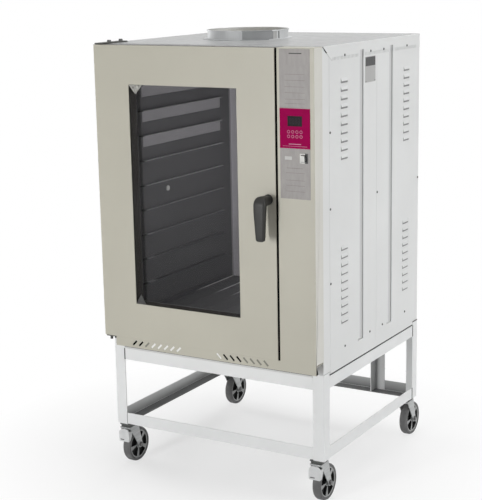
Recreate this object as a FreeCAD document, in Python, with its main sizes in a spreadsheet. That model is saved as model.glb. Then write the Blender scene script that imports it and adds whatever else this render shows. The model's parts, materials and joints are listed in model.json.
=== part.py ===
import FreeCAD, Part
import os
import re

# Convection oven on a wheeled angle-iron stand. Millimetres, Z up, floor at z = 0.
# x is measured from the middle of the cabinet, y from the front face of the door.
# Each sub-part's Placement then moves it so that the whole part is centred over its footprint.

DIMENSIONS = {
    # Cabinet and stand
    "cab_width": 1000, "cab_depth": 918, "cab_height": 1267, "front_depth": 64,
    "sheet_gauge": 1.5, "frame_gauge": 2, "leg_height": 358,
    "angle_size": 50, "angle_gauge": 4, "rail_drop": 15, "lower_rail_lift": 3, "post_offset": 296,
    # Casters
    "caster_height": 187, "wheel_dia": 150, "wheel_width": 36, "tyre_depth": 13, "tread_bevel": 7,
    "rim_depth": 6, "spoke_count": 5, "spoke_arc": 20, "spoke_core_dia": 36, "hub_inset": 3,
    "hub_boss_dia": 26, "axle_dia": 12, "caster_trail": 42, "swivel_inset_side": 38,
    "swivel_inset_end": 32, "plate_gauge": 5, "plate_size": 56, "race_height": 9, "race_dia": 46,
    "kingpin_dia": 12, "kingpin_recess": 0.5, "crown_gauge": 6, "fork_gauge": 3.5, "fork_room": 4,
    "fork_front": 36, "fork_back": 30, "fork_foot": 28, "axle_end": 4, "pedal_width": 54, "pedal_gauge": 4,
    "pedal_barrel_dia": 13, "pedal_pin_dia": 6, "pedal_pin_front": 14, "pedal_pin_drop": 21,
    "pedal_reach": 32, "pedal_hang": 42, "pedal_rise": 15, "fit_gap": 0.05, "run_gap": 0.3, "cut_over": 1,
    # Cabinet skins
    "return_depth": 58, "panel_gap": 1, "lap_depth": 18, "upstand": 40, "seam_depth": 484,
    "groove_width": 34, "groove_depth": 6, "groove_before_seam": 142, "groove_behind_seam": 138,
    "groove_foot": 59, "groove_head": 26, "groove_toe": 16, "groove_toe_height": 9, "panel_drop": 9,
    "louvre_length": 60, "louvre_rise": 12, "louvre_out": 4.5, "louvre_slot": 8, "louvre_pitch": 32.8,
    "louvre_count": 10, "louvre_from_seam": 297, "louvre_top_drop": 128, "louvre_group_drop": 655,
    "louvre_edge": 0.3, "skirt_height": 57, "skirt_cut": 82, "notch_width": 4, "notch_height": 13,
    "notch_pitch": 12, "notch_count": 19, "notch_group_pitch": 285, "notch_start": 86,
    "flue_dia": 340, "flue_gauge": 2, "flue_height": 38, "flue_flange": 16, "flue_bead": 2.5,
    "gland_dia": 36, "gland_dome_dia": 30, "gland_stub_dia": 22, "gland_bore_dia": 14,
    "gland_length": 20, "gland_side": 120, "gland_rise": 82,
    # Cooking chamber
    "cavity_left": 103, "tray_room": 583, "rack_gauge": 2, "baffle_gauge": 2, "plenum": 60,
    "cavity_rise": 128, "cavity_height": 1054, "cavity_rear": 90, "liner_gauge": 2,
    "floor_rib_width": 8, "floor_rib_height": 2, "floor_rib_pitch": 90, "floor_rib_count": 6,
    "ledge_count": 10, "ledge_pitch": 104, "ledge_first": 23, "ledge_depth": 16, "ledge_gauge": 2,
    "ledge_front": 64, "ledge_back": 104, "air_slot_count": 3, "air_slot_height": 47,
    "air_slot_front": 110, "air_slot_back": 96, "rack_inset": 20,
    "lamp_dia": 22, "lamp_out": 6, "lamp_depth": 279, "lamp_rise": 507,
    "insulation_gauge": 50, "insulation_right": 40, "latch_room": 44,
    # Fan and heater
    "fan_dia": 300, "fan_disc": 2, "fan_blade": 24, "fan_blade_gauge": 3, "fan_blade_height": 52,
    "fan_blade_count": 12, "fan_hub_dia": 44, "fan_clear": 12, "shaft_dia": 16, "shaft_end": 44,
    "shaft_room": 4, "intake_dia": 240, "outlet_width": 20, "outlet_margin": 24, "outlet_trim": 85,
    "motor_dia": 156, "motor_side": 55, "motor_neck_dia": 120, "motor_cap_dia": 130, "motor_cap": 15,
    "heater_dia": 380, "heater_tube_dia": 9, "heater_pitch": 18, "heater_flange_dia": 28,
    "heater_flange": 3, "heater_tail": 20,
    # Door
    "door_width": 833, "door_thick": 57, "door_split": 45, "door_gap": 4, "door_top_gap": 1,
    "column_gap": 10, "window_left": 166, "window_width": 500, "window_sill": 152, "window_height": 902,
    "glass_gauge": 5, "glass_lap": 14, "spacer_gauge": 3, "gasket_width": 14, "gasket_gap": 0.4,
    "gasket_out": 25, "hinge_pin_dia": 12, "pin_inset_side": 18, "pin_inset_front": 20,
    "pin_engage": 40, "pin_tail": 16, "bush_size": 36, "bush_depth": 46, "hinge_gauge": 5,
    "hinge_width": 38, "hinge_edge": 4, "hinge_strap": 176, "hinge_foot": 30, "hinge_bolt_dia": 18,
    "hinge_bolt_head": 8, "hinge_bolt_first": 78, "hinge_bolt_pitch": 80,
    # Handle and latch
    "handle_side": 33, "handle_rise": 636, "rose_dia": 40, "rose_depth": 8, "spindle_dia": 12,
    "spindle_room": 0.3, "neck_dia": 38, "grip_gap": 52, "grip_depth": 28, "grip_top_width": 50,
    "grip_end_width": 36, "grip_length": 135, "tongue_length": 26, "tongue_width": 16,
    "tongue_gauge": 12, "tongue_gap": 2, "latch_hole_side": 32, "latch_hole_drop": 56,
    "latch_hole_left": 26, "latch_hole_top": 16, "keeper_width": 20, "keeper_depth": 20, "keeper_height": 20,
    # Fascia and controls
    "apron_rise": 16, "apron_height": 36, "apron_left": 57, "apron_lip": 18, "vent_length": 28,
    "vent_width": 8, "vent_lift": 3, "vent_lean": 45, "vent_pitch": 31, "vent_count": 8, "vent_left": 151,
    "vent_right": 561, "overlay_left": 11, "overlay_width": 128, "overlay_height": 560,
    "overlay_top": 4, "overlay_gauge": 0.8, "keypad_drop": 222, "keypad_height": 151,
    "keypad_gauge": 1.2, "display_drop": 29, "display_width": 61, "display_height": 38,
    "display_gauge": 0.5, "key_dia": 12, "key_rise": 0.5, "key_pitch": 17.5, "key_columns": 4,
    "key_rows": 2, "key_drop": 88, "rocker_width": 33, "rocker_height": 37, "rocker_left": 96,
    "rocker_drop": 408, "bezel_gauge": 3, "bezel_wall": 4, "bezel_depth": 20, "paddle_room": 1.2,
    "paddle_depth": 12, "paddle_out": 4, "paddle_tilt": 8, "paddle_pin_dia": 3, "paddle_pin_depth": 2,
    "controller_width": 110, "controller_height": 145, "controller_depth": 40,
    # Fasteners
    "screw_dia": 10, "screw_head": 2.5, "screw_row_low": 72, "screw_row_high": 42,
    "screw_edge": 6, "screw_from_seam": 62, "screw_pitch": 233, "screw_mid": 294, "screw_lift": 14,
}

doc = FreeCAD.newDocument("convection_oven")
dims = doc.addObject("Spreadsheet::Sheet", "dims")
for row, (alias, size) in enumerate(DIMENSIONS.items(), start=1):
    dims.set("A%d" % row, alias)
    dims.set("B%d" % row, str(size))
    dims.setAlias("B%d" % row, alias)
doc.recompute()

WORD = re.compile(r"\b(" + "|".join(sorted(DIMENSIONS, key=len, reverse=True)) + r")\b")
AXES = {"x": FreeCAD.Vector(1, 0, 0), "y": FreeCAD.Vector(0, 1, 0), "z": FreeCAD.Vector(0, 0, 1)}
TURN = {
    "x": FreeCAD.Rotation(AXES["y"], 90),
    "y": FreeCAD.Rotation(AXES["x"], -90),
    "z": FreeCAD.Rotation(),
}
sub_parts = []
corners = {}


def size(alias):
    """The sheet's value as a Python number, for counts and angles."""
    return float(dims.get(alias))


def bind(obj, prop, text):
    """Tie a property to the sheet with an expression over its aliases."""
    obj.setExpression(prop, WORD.sub(r"dims.\1", text))


def seat(obj, x, y, z):
    """Tie an object's position to the sheet and remember it."""
    corners[obj.Name] = (x, y, z)
    for prop, text in zip("xyz", (x, y, z)):
        bind(obj, "Placement.Base." + prop, text)


# Building blocks

def block(name, xs, ys, zs):
    """A box between two expressions on each axis."""
    box = doc.addObject("Part::Box", name)
    for prop, (low, high) in zip(("Length", "Width", "Height"), (xs, ys, zs)):
        bind(box, prop, "(%s) - (%s)" % (high, low))
    seat(box, xs[0], ys[0], zs[0])
    return box


def rod(name, axis, across, diameter, ends):
    """A cylinder along an axis; across gives its two other coordinates in x, y, z order."""
    pin = doc.addObject("Part::Cylinder", name)
    pin.Placement.Rotation = TURN[axis]
    bind(pin, "Radius", "(%s)/2" % diameter)
    bind(pin, "Height", "(%s) - (%s)" % (ends[1], ends[0]))
    place = list(across)
    place.insert("xyz".index(axis), ends[0])
    seat(pin, *place)
    return pin


def cone(name, axis, across, diameters, ends):
    """A frustum along an axis with a diameter at each end."""
    frustum = doc.addObject("Part::Cone", name)
    frustum.Placement.Rotation = TURN[axis]
    bind(frustum, "Radius1", "(%s)/2" % diameters[0])
    bind(frustum, "Radius2", "(%s)/2" % diameters[1])
    bind(frustum, "Height", "(%s) - (%s)" % (ends[1], ends[0]))
    place = list(across)
    place.insert("xyz".index(axis), ends[0])
    seat(frustum, *place)
    return frustum


def taper(name, zs, low, high):
    """A block whose plan changes from low to high; each plan is (x0, x1, y0, y1)."""
    wedge = doc.addObject("Part::Wedge", name)
    wedge.Placement.Rotation = FreeCAD.Rotation(AXES["x"], 90)
    spans = {
        "Ymin": zs[0], "Ymax": zs[1],
        "Xmin": low[0], "Xmax": low[1], "Zmin": "-(%s)" % low[3], "Zmax": "-(%s)" % low[2],
        "X2min": high[0], "X2max": high[1], "Z2min": "-(%s)" % high[3], "Z2max": "-(%s)" % high[2],
    }
    for prop, text in spans.items():
        bind(wedge, prop, text)
    return wedge


def group(name, pieces):
    """Several solids kept as one object."""
    compound = doc.addObject("Part::Compound", name)
    compound.Links = pieces
    return compound


def join(name, *pieces):
    fusion = doc.addObject("Part::MultiFuse", name)
    fusion.Shapes = list(pieces)
    fusion.Refine = False
    return fusion


def trim(name, base, *tools):
    """Cut one or more tools out of a base."""
    cut = doc.addObject("Part::Cut", name)
    cut.Base = base
    cut.Tool = tools[0] if len(tools) == 1 else group(name + "_tools", list(tools))
    return cut


def turned(name, piece, axis, angle):
    """A piece turned about an axis through the local origin."""
    copy = group(name, [piece])
    copy.Placement.Rotation = FreeCAD.Rotation(AXES[axis], angle)
    return copy


def span(edge, depth, sign):
    """An interval that starts at an edge and goes the way of the sign."""
    far = "(%s) + (%d)*(%s)" % (edge, sign, depth)
    return (edge, far) if sign > 0 else (far, edge)


def grown(interval, margin):
    return ("(%s) - (%s)" % (interval[0], margin), "(%s) + (%s)" % (interval[1], margin))


def shrunk(interval, margin):
    return ("(%s) + (%s)" % (interval[0], margin), "(%s) - (%s)" % (interval[1], margin))


def publish(label, obj, x="0", y="0", z="0"):
    """Name a sub-part and move it from the door's face to the part's own origin."""
    obj.Label = label
    base = corners.get(obj.Name, ("0", "0", "0"))
    seat(obj, base[0] + "+" + x, base[1] + "+" + y + "+" + SHIFT, base[2] + "+" + z)
    sub_parts.append(obj)


# Reference planes

LEFT = "(-cab_width/2)"
RIGHT = "(cab_width/2)"
SKIN = "(cab_width/2 - sheet_gauge)"
FRONT = "front_depth"
BACK = "(front_depth + cab_depth)"
LEG_BOTTOM = "caster_height"
LEG_TOP = "(caster_height + leg_height)"
CAB_TOP = "(caster_height + leg_height + cab_height)"
COVER_UNDER = "(%s - sheet_gauge)" % CAB_TOP
PAN_TOP = "(%s + frame_gauge)" % LEG_TOP
RAIL_TOP = "(%s - rail_drop)" % LEG_TOP
LOW_RAIL = "(%s + lower_rail_lift)" % LEG_BOTTOM
SEAM = "(front_depth + seam_depth)"
SKIRT_BOTTOM = "(%s - skirt_height)" % CAB_TOP
GROOVE_TOP = "(%s + groove_head)" % SKIRT_BOTTOM
HANDLE_REACH = "(grip_gap + grip_depth)"
WHEEL_REACH = "(caster_trail + wheel_dia/2 - swivel_inset_end)"
SHIFT = "(%s - front_depth - cab_depth - %s)/2" % (HANDLE_REACH, WHEEL_REACH)

DOOR_BOTTOM = "(%s + apron_rise + apron_height + door_gap)" % LEG_TOP
DOOR_TOP = "(%s - door_top_gap)" % CAB_TOP
DOOR_RIGHT = "(door_width - cab_width/2)"
COLUMN_LEFT = "(%s + column_gap)" % DOOR_RIGHT
APRON_BOTTOM = "(%s + apron_rise)" % LEG_TOP
APRON_TOP = "(%s + apron_height)" % APRON_BOTTOM

RACK_LEFT = "(%s + cavity_left)" % LEFT
TRAY_LEFT = "(%s + rack_gauge)" % RACK_LEFT
TRAY_RIGHT = "(%s + tray_room)" % TRAY_LEFT
BAFFLE = "(%s + rack_gauge)" % TRAY_RIGHT
PLENUM = "(%s + baffle_gauge)" % BAFFLE
LINER_RIGHT = "(%s + plenum)" % PLENUM
LINER_OUT = "(%s + liner_gauge)" % LINER_RIGHT
CAVITY_FRONT = "(front_depth + frame_gauge)"
CAVITY_BACK = "(%s - cavity_rear)" % BACK
FLOOR = "(%s + cavity_rise)" % LEG_TOP
CEILING = "(%s + cavity_height)" % FLOOR

CORNERS = {
    "front_left": (LEFT, 1, FRONT, 1),
    "front_right": (RIGHT, -1, FRONT, 1),
    "rear_left": (LEFT, 1, BACK, -1),
    "rear_right": (RIGHT, -1, BACK, -1),
}
SIDES = {"left": -1, "right": 1}


# Stand

def make_leg(tag, x_edge, x_sign, y_edge, y_sign):
    """Upright angle iron with its heel at the stand's corner."""
    height = (LEG_BOTTOM, LEG_TOP)
    outer = block("leg_%s_bar" % tag, span(x_edge, "angle_size", x_sign),
                  span(y_edge, "angle_size", y_sign), height)
    x_in = "%s + (%d)*angle_gauge" % (x_edge, x_sign)
    y_in = "%s + (%d)*angle_gauge" % (y_edge, y_sign)
    hollow = block("leg_%s_hollow" % tag, span(x_in, "angle_size", x_sign), span(y_in, "angle_size", y_sign),
                   grown(height, "cut_over"))
    publish("leg_" + tag, trim("leg_%s_solid" % tag, outer, hollow))


def make_rails(label, zs, hollow_zs):
    """Four angle-iron rails between the legs, with their flanges turned inwards."""
    bars = []
    across = shrunk((LEFT, RIGHT), "angle_size")
    along = shrunk((FRONT, BACK), "angle_size")
    for tag, edge, sign in (("front", FRONT, 1), ("rear", BACK, -1)):
        bar = block("%s_%s_bar" % (label, tag), across, span(edge, "angle_size", sign), zs)
        inside = "%s + (%d)*angle_gauge" % (edge, sign)
        hollow = block("%s_%s_hollow" % (label, tag), grown(across, "cut_over"),
                       span(inside, "angle_size", sign), hollow_zs)
        bars.append(trim("%s_%s" % (label, tag), bar, hollow))
    for tag, edge, sign in (("left", LEFT, 1), ("right", RIGHT, -1)):
        bar = block("%s_%s_bar" % (label, tag), span(edge, "angle_size", sign), along, zs)
        inside = "%s + (%d)*angle_gauge" % (edge, sign)
        hollow = block("%s_%s_hollow" % (label, tag), span(inside, "angle_size", sign),
                       grown(along, "cut_over"), hollow_zs)
        bars.append(trim("%s_%s" % (label, tag), bar, hollow))
    publish(label, group(label + "_set", bars))


def make_rear_post():
    """Angle-iron post that stands inside the rear rails."""
    heel = "(%s - angle_gauge)" % BACK
    zs = ("%s + angle_gauge" % LOW_RAIL, "%s - angle_gauge" % RAIL_TOP)
    bar = block("rear_post_bar", span("post_offset", "angle_size", 1), span(heel, "angle_size", -1), zs)
    hollow = block("rear_post_hollow", span("post_offset + angle_gauge", "angle_size", 1),
                   span(heel + " - angle_gauge", "angle_size", -1), grown(zs, "cut_over"))
    publish("rear_post", trim("rear_post_solid", bar, hollow))


for corner, edges in CORNERS.items():
    make_leg(corner, *edges)
make_rails("upper_rails", ("%s - angle_size" % RAIL_TOP, RAIL_TOP),
           ("%s - angle_size - cut_over" % RAIL_TOP, "%s - angle_gauge" % RAIL_TOP))
make_rails("lower_rails", (LOW_RAIL, "%s + angle_size" % LOW_RAIL),
           ("%s + angle_gauge" % LOW_RAIL, "%s + angle_size + cut_over" % LOW_RAIL))
make_rear_post()


# Casters

RACE_TOP = "(%s - plate_gauge)" % LEG_BOTTOM
RACE_BOTTOM = "(%s - race_height)" % RACE_TOP
CROWN_TOP = "(%s - run_gap)" % RACE_BOTTOM
CROWN_BOTTOM = "(%s - crown_gauge)" % CROWN_TOP
AXLE = "(wheel_dia/2)"
CHEEK_IN = "(wheel_width/2 + fork_room)"
CHEEK_OUT = "(%s + fork_gauge)" % CHEEK_IN
PEDAL_PIN = "(%s - pedal_pin_drop)" % CROWN_TOP
HUB_DIA = "(wheel_dia - 2*tyre_depth)"


def swivel(x_edge, x_sign, y_edge, y_sign):
    """Where a caster's swivel axis stands."""
    x = "%s + (%d)*swivel_inset_side" % (x_edge, x_sign)
    y = "%s + (%d)*swivel_inset_end" % (y_edge, y_sign)
    return (x, y)


def make_caster_plates():
    """Top plates with their bearing races, welded under the legs."""
    plates = []
    for tag, edges in CORNERS.items():
        x, y = swivel(*edges)
        plate = block("plate_%s_flat" % tag, grown((x, x), "plate_size/2"),
                      span(edges[2], "plate_size", edges[3]), (RACE_TOP, LEG_BOTTOM))
        race = rod("plate_%s_race" % tag, "z", (x, y), "race_dia", (RACE_BOTTOM, RACE_TOP))
        bore = rod("plate_%s_bore" % tag, "z", (x, y), "kingpin_dia + 2*fit_gap",
                   grown((RACE_BOTTOM, LEG_BOTTOM), "cut_over"))
        plates.append(trim("plate_" + tag, join("plate_%s_blank" % tag, plate, race), bore))
    publish("caster_plates", group("caster_plate_set", plates))


def make_fork(tag, x, y, braked):
    """Swivelling fork with its kingpin and axle, and a pin for the brake pedal on the front pair."""
    name = "caster_fork_" + tag
    pieces = [
        rod(name + "_crown", "z", ("0", "0"), "race_dia", (CROWN_BOTTOM, CROWN_TOP)),
        block(name + "_bridge", ("-%s" % CHEEK_OUT, CHEEK_OUT), ("-fork_front", "fork_back"),
              (CROWN_BOTTOM, CROWN_TOP)),
        rod(name + "_kingpin", "z", ("0", "0"), "kingpin_dia",
            (CROWN_TOP, "%s - kingpin_recess" % LEG_BOTTOM)),
        rod(name + "_axle", "x", ("caster_trail", AXLE), "axle_dia",
            ("-%s - axle_end" % CHEEK_OUT, "%s + axle_end" % CHEEK_OUT)),
    ]
    for end, sign in (("a", 1), ("b", -1)):
        cheek = span("(%d)*%s" % (sign, CHEEK_IN), "fork_gauge", sign)
        pieces.append(taper(name + "_cheek_" + end, (AXLE, CROWN_TOP),
                            cheek + ("caster_trail - fork_foot/2", "caster_trail + fork_foot/2"),
                            cheek + ("-fork_front", "fork_back")))
        pieces.append(rod(name + "_boss_" + end, "x", ("caster_trail", AXLE), "fork_foot", cheek))
    if braked:
        pieces.append(rod(name + "_pedal_pin", "x", ("-pedal_pin_front", PEDAL_PIN), "pedal_pin_dia",
                          ("-%s" % CHEEK_OUT, CHEEK_OUT)))
    publish(name, join(name + "_solid", *pieces), x, y)


def make_wheel(tag, x, y):
    """Spoked hub and rubber tyre about the fork's axle."""
    name = "wheel_hub_" + tag
    half = "(wheel_width/2 - hub_inset)"
    web = ("-" + half, half)
    disc = rod(name + "_disc", "x", ("0", "0"), HUB_DIA, web)
    gaps = []
    step = 360 / size("spoke_count")
    for index in range(int(size("spoke_count"))):
        sector = rod("%s_gap_%d" % (name, index), "x", ("0", "0"), "%s - 2*rim_depth" % HUB_DIA,
                     grown(web, "cut_over"))
        bind(sector, "Angle", "360/spoke_count - spoke_arc")
        gaps.append(turned("%s_sector_%d" % (name, index), sector, "x", step * index))
    spokes = trim(name + "_spokes", disc, *gaps)
    core = rod(name + "_core", "x", ("0", "0"), "spoke_core_dia", web)
    reach = "(%s - run_gap)" % CHEEK_IN
    boss = rod(name + "_boss", "x", ("0", "0"), "hub_boss_dia", ("-" + reach, reach))
    bore = rod(name + "_bore", "x", ("0", "0"), "axle_dia + 2*fit_gap",
               grown(("-" + reach, reach), "cut_over"))
    hub = trim(name + "_solid", join(name + "_blank", spokes, core, boss), bore)
    publish(name, hub, x, y + "+caster_trail", AXLE)

    name = "tyre_" + tag
    shoulder = "(wheel_width/2 - tread_bevel)"
    edge = "(wheel_dia - tread_bevel)"
    tread = join(name + "_blank",
                 rod(name + "_tread", "x", ("0", "0"), "wheel_dia", ("-" + shoulder, shoulder)),
                 cone(name + "_left", "x", ("0", "0"), (edge, "wheel_dia"),
                      ("-wheel_width/2", "-" + shoulder)),
                 cone(name + "_right", "x", ("0", "0"), ("wheel_dia", edge),
                      (shoulder, "wheel_width/2")))
    hole = rod(name + "_hole", "x", ("0", "0"), HUB_DIA,
               grown(("-wheel_width/2", "wheel_width/2"), "cut_over"))
    publish(name, trim(name + "_solid", tread, hole), x, y + "+caster_trail", AXLE)


def make_pedal(tag, x, y):
    """Foot pedal of the wheel brake, hung on the fork's cross pin."""
    name = "brake_pedal_" + tag
    half = "(%s - run_gap)" % CHEEK_IN
    tip = "-(pedal_pin_front + pedal_reach)"
    barrel = rod(name + "_barrel", "x", ("-pedal_pin_front", PEDAL_PIN), "pedal_barrel_dia",
                 ("-" + half, half))
    arm = block(name + "_arm", ("-" + half, half), (tip, "-pedal_pin_front"),
                ("%s - pedal_gauge/2" % PEDAL_PIN, "%s + pedal_gauge/2" % PEDAL_PIN))
    pad = block(name + "_pad", ("-pedal_width/2", "pedal_width/2"), (tip, tip + " + pedal_gauge"),
                ("%s - pedal_hang" % PEDAL_PIN, "%s + pedal_rise" % PEDAL_PIN))
    bore = rod(name + "_bore", "x", ("-pedal_pin_front", PEDAL_PIN), "pedal_pin_dia + 2*fit_gap",
               grown(("-" + half, half), "cut_over"))
    publish(name, trim(name + "_solid", join(name + "_blank", barrel, arm, pad), bore), x, y)


make_caster_plates()
for corner, edges in CORNERS.items():
    axis = swivel(*edges)
    braked = corner.startswith("front")
    make_fork(corner, *axis, braked)
    make_wheel(corner, *axis)
    if braked:
        make_pedal(corner, *axis)


# Cabinet skins

def skin_span(side, depth, thickness):
    """An interval across the cabinet that starts a depth inside a side skin's outer face."""
    return span("(%d)*(%s - (%s))" % (side, SKIN, depth), thickness, -side)


def make_base_pan():
    """Floor tray of the cabinet: a lip hangs between the legs and an upstand holds the side skins."""
    plate = block("base_pan_plate", shrunk(("-" + SKIN, SKIN), "sheet_gauge"), (FRONT, BACK),
                  (LEG_TOP, PAN_TOP))
    lip = (RAIL_TOP, LEG_TOP)
    across = shrunk((LEFT, RIGHT), "angle_size + panel_gap")
    along = shrunk((FRONT, BACK), "angle_size + panel_gap")
    pieces = [
        plate,
        block("base_pan_lip_front", across, span(FRONT, "frame_gauge", 1), lip),
        block("base_pan_lip_rear", across, span(BACK, "frame_gauge", -1), lip),
    ]
    for tag, side in SIDES.items():
        pieces.append(block("base_pan_lip_" + tag, skin_span(side, "sheet_gauge", "frame_gauge"),
                            along, lip))
        pieces.append(block("base_pan_upstand_" + tag, skin_span(side, "sheet_gauge", "sheet_gauge"),
                            (CAVITY_FRONT, "%s - 2*sheet_gauge" % BACK), (PAN_TOP, PAN_TOP + " + upstand")))
    publish("base_pan", join("base_pan_solid", *pieces))


def make_front_frame():
    """Cabinet front round the chamber mouth, with side returns and a hole for the latch."""
    zs = (PAN_TOP, COVER_UNDER)
    face = block("front_frame_face", ("-" + SKIN, SKIN), (FRONT, CAVITY_FRONT), zs)
    mouth = block("front_frame_mouth", (TRAY_LEFT, BAFFLE), grown((FRONT, CAVITY_FRONT), "cut_over"),
                  shrunk((FLOOR, CEILING), "liner_gauge"))
    latch = block("front_frame_latch_hole",
                  ("%s - latch_hole_left" % HANDLE_X, "%s + latch_hole_side" % HANDLE_X),
                  grown((FRONT, CAVITY_FRONT), "cut_over"),
                  ("%s - latch_hole_drop" % HANDLE_Z, "%s + latch_hole_top" % HANDLE_Z))
    pieces = [trim("front_frame_plate", face, mouth, latch)]
    for tag, side in SIDES.items():
        pieces.append(block("front_frame_return_" + tag, skin_span(side, "0", "sheet_gauge"),
                            (CAVITY_FRONT, "%s + return_depth" % FRONT), zs))
        pieces.append(block("front_frame_lap_" + tag, skin_span(side, "sheet_gauge", "sheet_gauge"),
                            (CAVITY_FRONT, "%s + return_depth + lap_depth" % FRONT),
                            (PAN_TOP + " + upstand + panel_gap", COVER_UNDER)))
    publish("front_frame", join("front_frame_solid", *pieces))


def louvre(name, side, middle, top):
    """A pressed hood over its slot; gives the hood and the slot's cutter."""
    ys = grown((middle, middle), "louvre_length/2")
    out = span("(%d)*%s" % (side, SKIN), "louvre_out", side)
    edge = span("(%d)*%s" % (side, SKIN), "louvre_edge", side)
    hood = taper(name + "_hood", ("%s - louvre_rise" % top, top), out + ys, edge + ys)
    slot = block(name + "_slot", grown(skin_span(side, "0", "sheet_gauge"), "cut_over"), ys,
                 ("%s - louvre_rise - louvre_slot" % top, "%s - louvre_rise" % top))
    return hood, slot


def groove_span(end):
    """Where the pressed groove of a front or rear side skin lies along y."""
    middle = "(%s - groove_before_seam)" % SEAM if end == "front" else "(%s + groove_behind_seam)" % SEAM
    return grown((middle, middle), "groove_width/2")


def make_side_panel(tag, side, end, toward):
    """Half of a side skin: louvres in two groups, one pressed groove, and a lap at the rear half's seam."""
    name = "side_panel_%s_%s" % (tag, end)
    if end == "front":
        ys = ("%s + return_depth + panel_gap" % FRONT, "%s - panel_gap/2" % SEAM)
    else:
        ys = ("%s + panel_gap/2" % SEAM, "%s - 2*sheet_gauge" % BACK)
    zs = (PAN_TOP, "%s - panel_gap" % COVER_UNDER)
    sheet = block(name + "_sheet", skin_span(side, "0", "sheet_gauge"), ys, zs)
    hem_ys = (ys[0], ys[1] if end == "front" else "%s - angle_size - panel_gap" % BACK)
    hem = block(name + "_hem", skin_span(side, "0", "sheet_gauge"), hem_ys,
                ("%s - panel_drop" % LEG_TOP, PAN_TOP))
    groove_ys = groove_span(end)
    groove_zs = ("%s + groove_foot" % PAN_TOP, GROOVE_TOP)
    toe_ys = span(groove_ys[0], "groove_toe", -1)
    toe_zs = span(groove_zs[0], "groove_toe_height", 1)
    hollow = skin_span(side, "0", "groove_depth")
    wall = skin_span(side, "0", "groove_depth + sheet_gauge")
    grooves = [
        block(name + "_groove", hollow, groove_ys, groove_zs),
        block(name + "_toe", hollow, toe_ys, toe_zs),
    ]
    channels = [
        block(name + "_channel", wall, grown(groove_ys, "sheet_gauge"), grown(groove_zs, "sheet_gauge")),
        block(name + "_toe_channel", wall, grown(toe_ys, "sheet_gauge"), grown(toe_zs, "sheet_gauge")),
    ]
    hoods = []
    slots = []
    louvre_y = "(%s + (%d)*louvre_from_seam)" % (SEAM, toward)
    for part, drop in (("upper", "louvre_top_drop"), ("lower", "louvre_top_drop + louvre_group_drop")):
        for index in range(int(size("louvre_count"))):
            top = "(%s - (%s) - %d*louvre_pitch)" % (CAB_TOP, drop, index)
            hood, slot = louvre("%s_%s_%d" % (name, part, index), side, louvre_y, top)
            hoods.append(hood)
            slots.append(slot)
    pieces = [sheet, hem] + channels + hoods
    if end == "rear":
        lap = block(name + "_lap", skin_span(side, "sheet_gauge", "sheet_gauge"),
                    grown((SEAM, SEAM), "lap_depth"), (PAN_TOP + " + upstand + panel_gap", zs[1]))
        pieces.append(lap)
    blank = join(name + "_blank", *pieces)
    publish(name, trim(name + "_solid", blank, *grooves, *slots))


def make_back_panel():
    ys = ("%s - 2*sheet_gauge" % BACK, "%s - sheet_gauge" % BACK)
    sheet = block("back_panel_sheet", ("-" + SKIN, SKIN), ys, (PAN_TOP, COVER_UNDER))
    hole = rod("back_panel_gland_hole", "y", (GLAND_X, GLAND_Z), "gland_stub_dia + 2*fit_gap",
               grown(ys, "cut_over"))
    publish("back_panel", trim("back_panel_solid", sheet, hole))


def make_top_cover():
    """Lid with a skirt over the side skins: slanted front ends, notches, and cut-outs at the grooves."""
    plate = block("top_cover_plate", (LEFT, RIGHT), (FRONT, BACK), (COVER_UNDER, CAB_TOP))
    zs = (SKIRT_BOTTOM, COVER_UNDER)
    pieces = [plate, block("top_cover_skirt_rear", ("-" + SKIN, SKIN), span(BACK, "sheet_gauge", -1), zs)]
    for tag, side in SIDES.items():
        edge = "(%d)*cab_width/2" % side
        pieces.append(block("top_cover_skirt_" + tag, span(edge, "sheet_gauge", -side), (FRONT, BACK), zs))
    wide = grown((LEFT, RIGHT), "cut_over")
    cutters = [taper("top_cover_slant", zs, wide + ("%s - cut_over" % FRONT, "%s + skirt_cut" % FRONT),
                     wide + ("%s - cut_over" % FRONT, FRONT))]
    for run in range(3):
        for index in range(int(size("notch_count"))):
            start = "(%s + notch_start + %d*notch_group_pitch + %d*notch_pitch)" % (FRONT, run, index)
            cutters.append(block("top_cover_notch_%d_%d" % (run, index), wide, span(start, "notch_width", 1),
                                 ("%s - cut_over" % SKIRT_BOTTOM, "%s + notch_height" % SKIRT_BOTTOM)))
    for end in ("front", "rear"):
        cutters.append(block("top_cover_groove_" + end, wide, groove_span(end),
                             ("%s - cut_over" % SKIRT_BOTTOM, GROOVE_TOP)))
    cutters.append(rod("top_cover_flue_hole", "z", FLUE, "flue_dia - 2*flue_gauge",
                       grown((COVER_UNDER, CAB_TOP), "cut_over")))
    publish("top_cover", trim("top_cover_solid", join("top_cover_blank", *pieces), *cutters))


def make_flue_collar():
    """Low round outlet over the chamber with a foot flange and a rolled rim."""
    top = "(%s + flue_height)" % CAB_TOP
    blank = join("flue_collar_blank",
                 rod("flue_collar_tube", "z", FLUE, "flue_dia", (CAB_TOP, top)),
                 rod("flue_collar_foot", "z", FLUE, "flue_dia + 2*flue_flange",
                     (CAB_TOP, CAB_TOP + " + flue_gauge")),
                 rod("flue_collar_rim", "z", FLUE, "flue_dia + 2*flue_bead", (top + " - 2*flue_bead", top)))
    bore = rod("flue_collar_bore", "z", FLUE, "flue_dia - 2*flue_gauge", grown((CAB_TOP, top), "cut_over"))
    publish("flue_collar", trim("flue_collar_solid", blank, bore))


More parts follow.
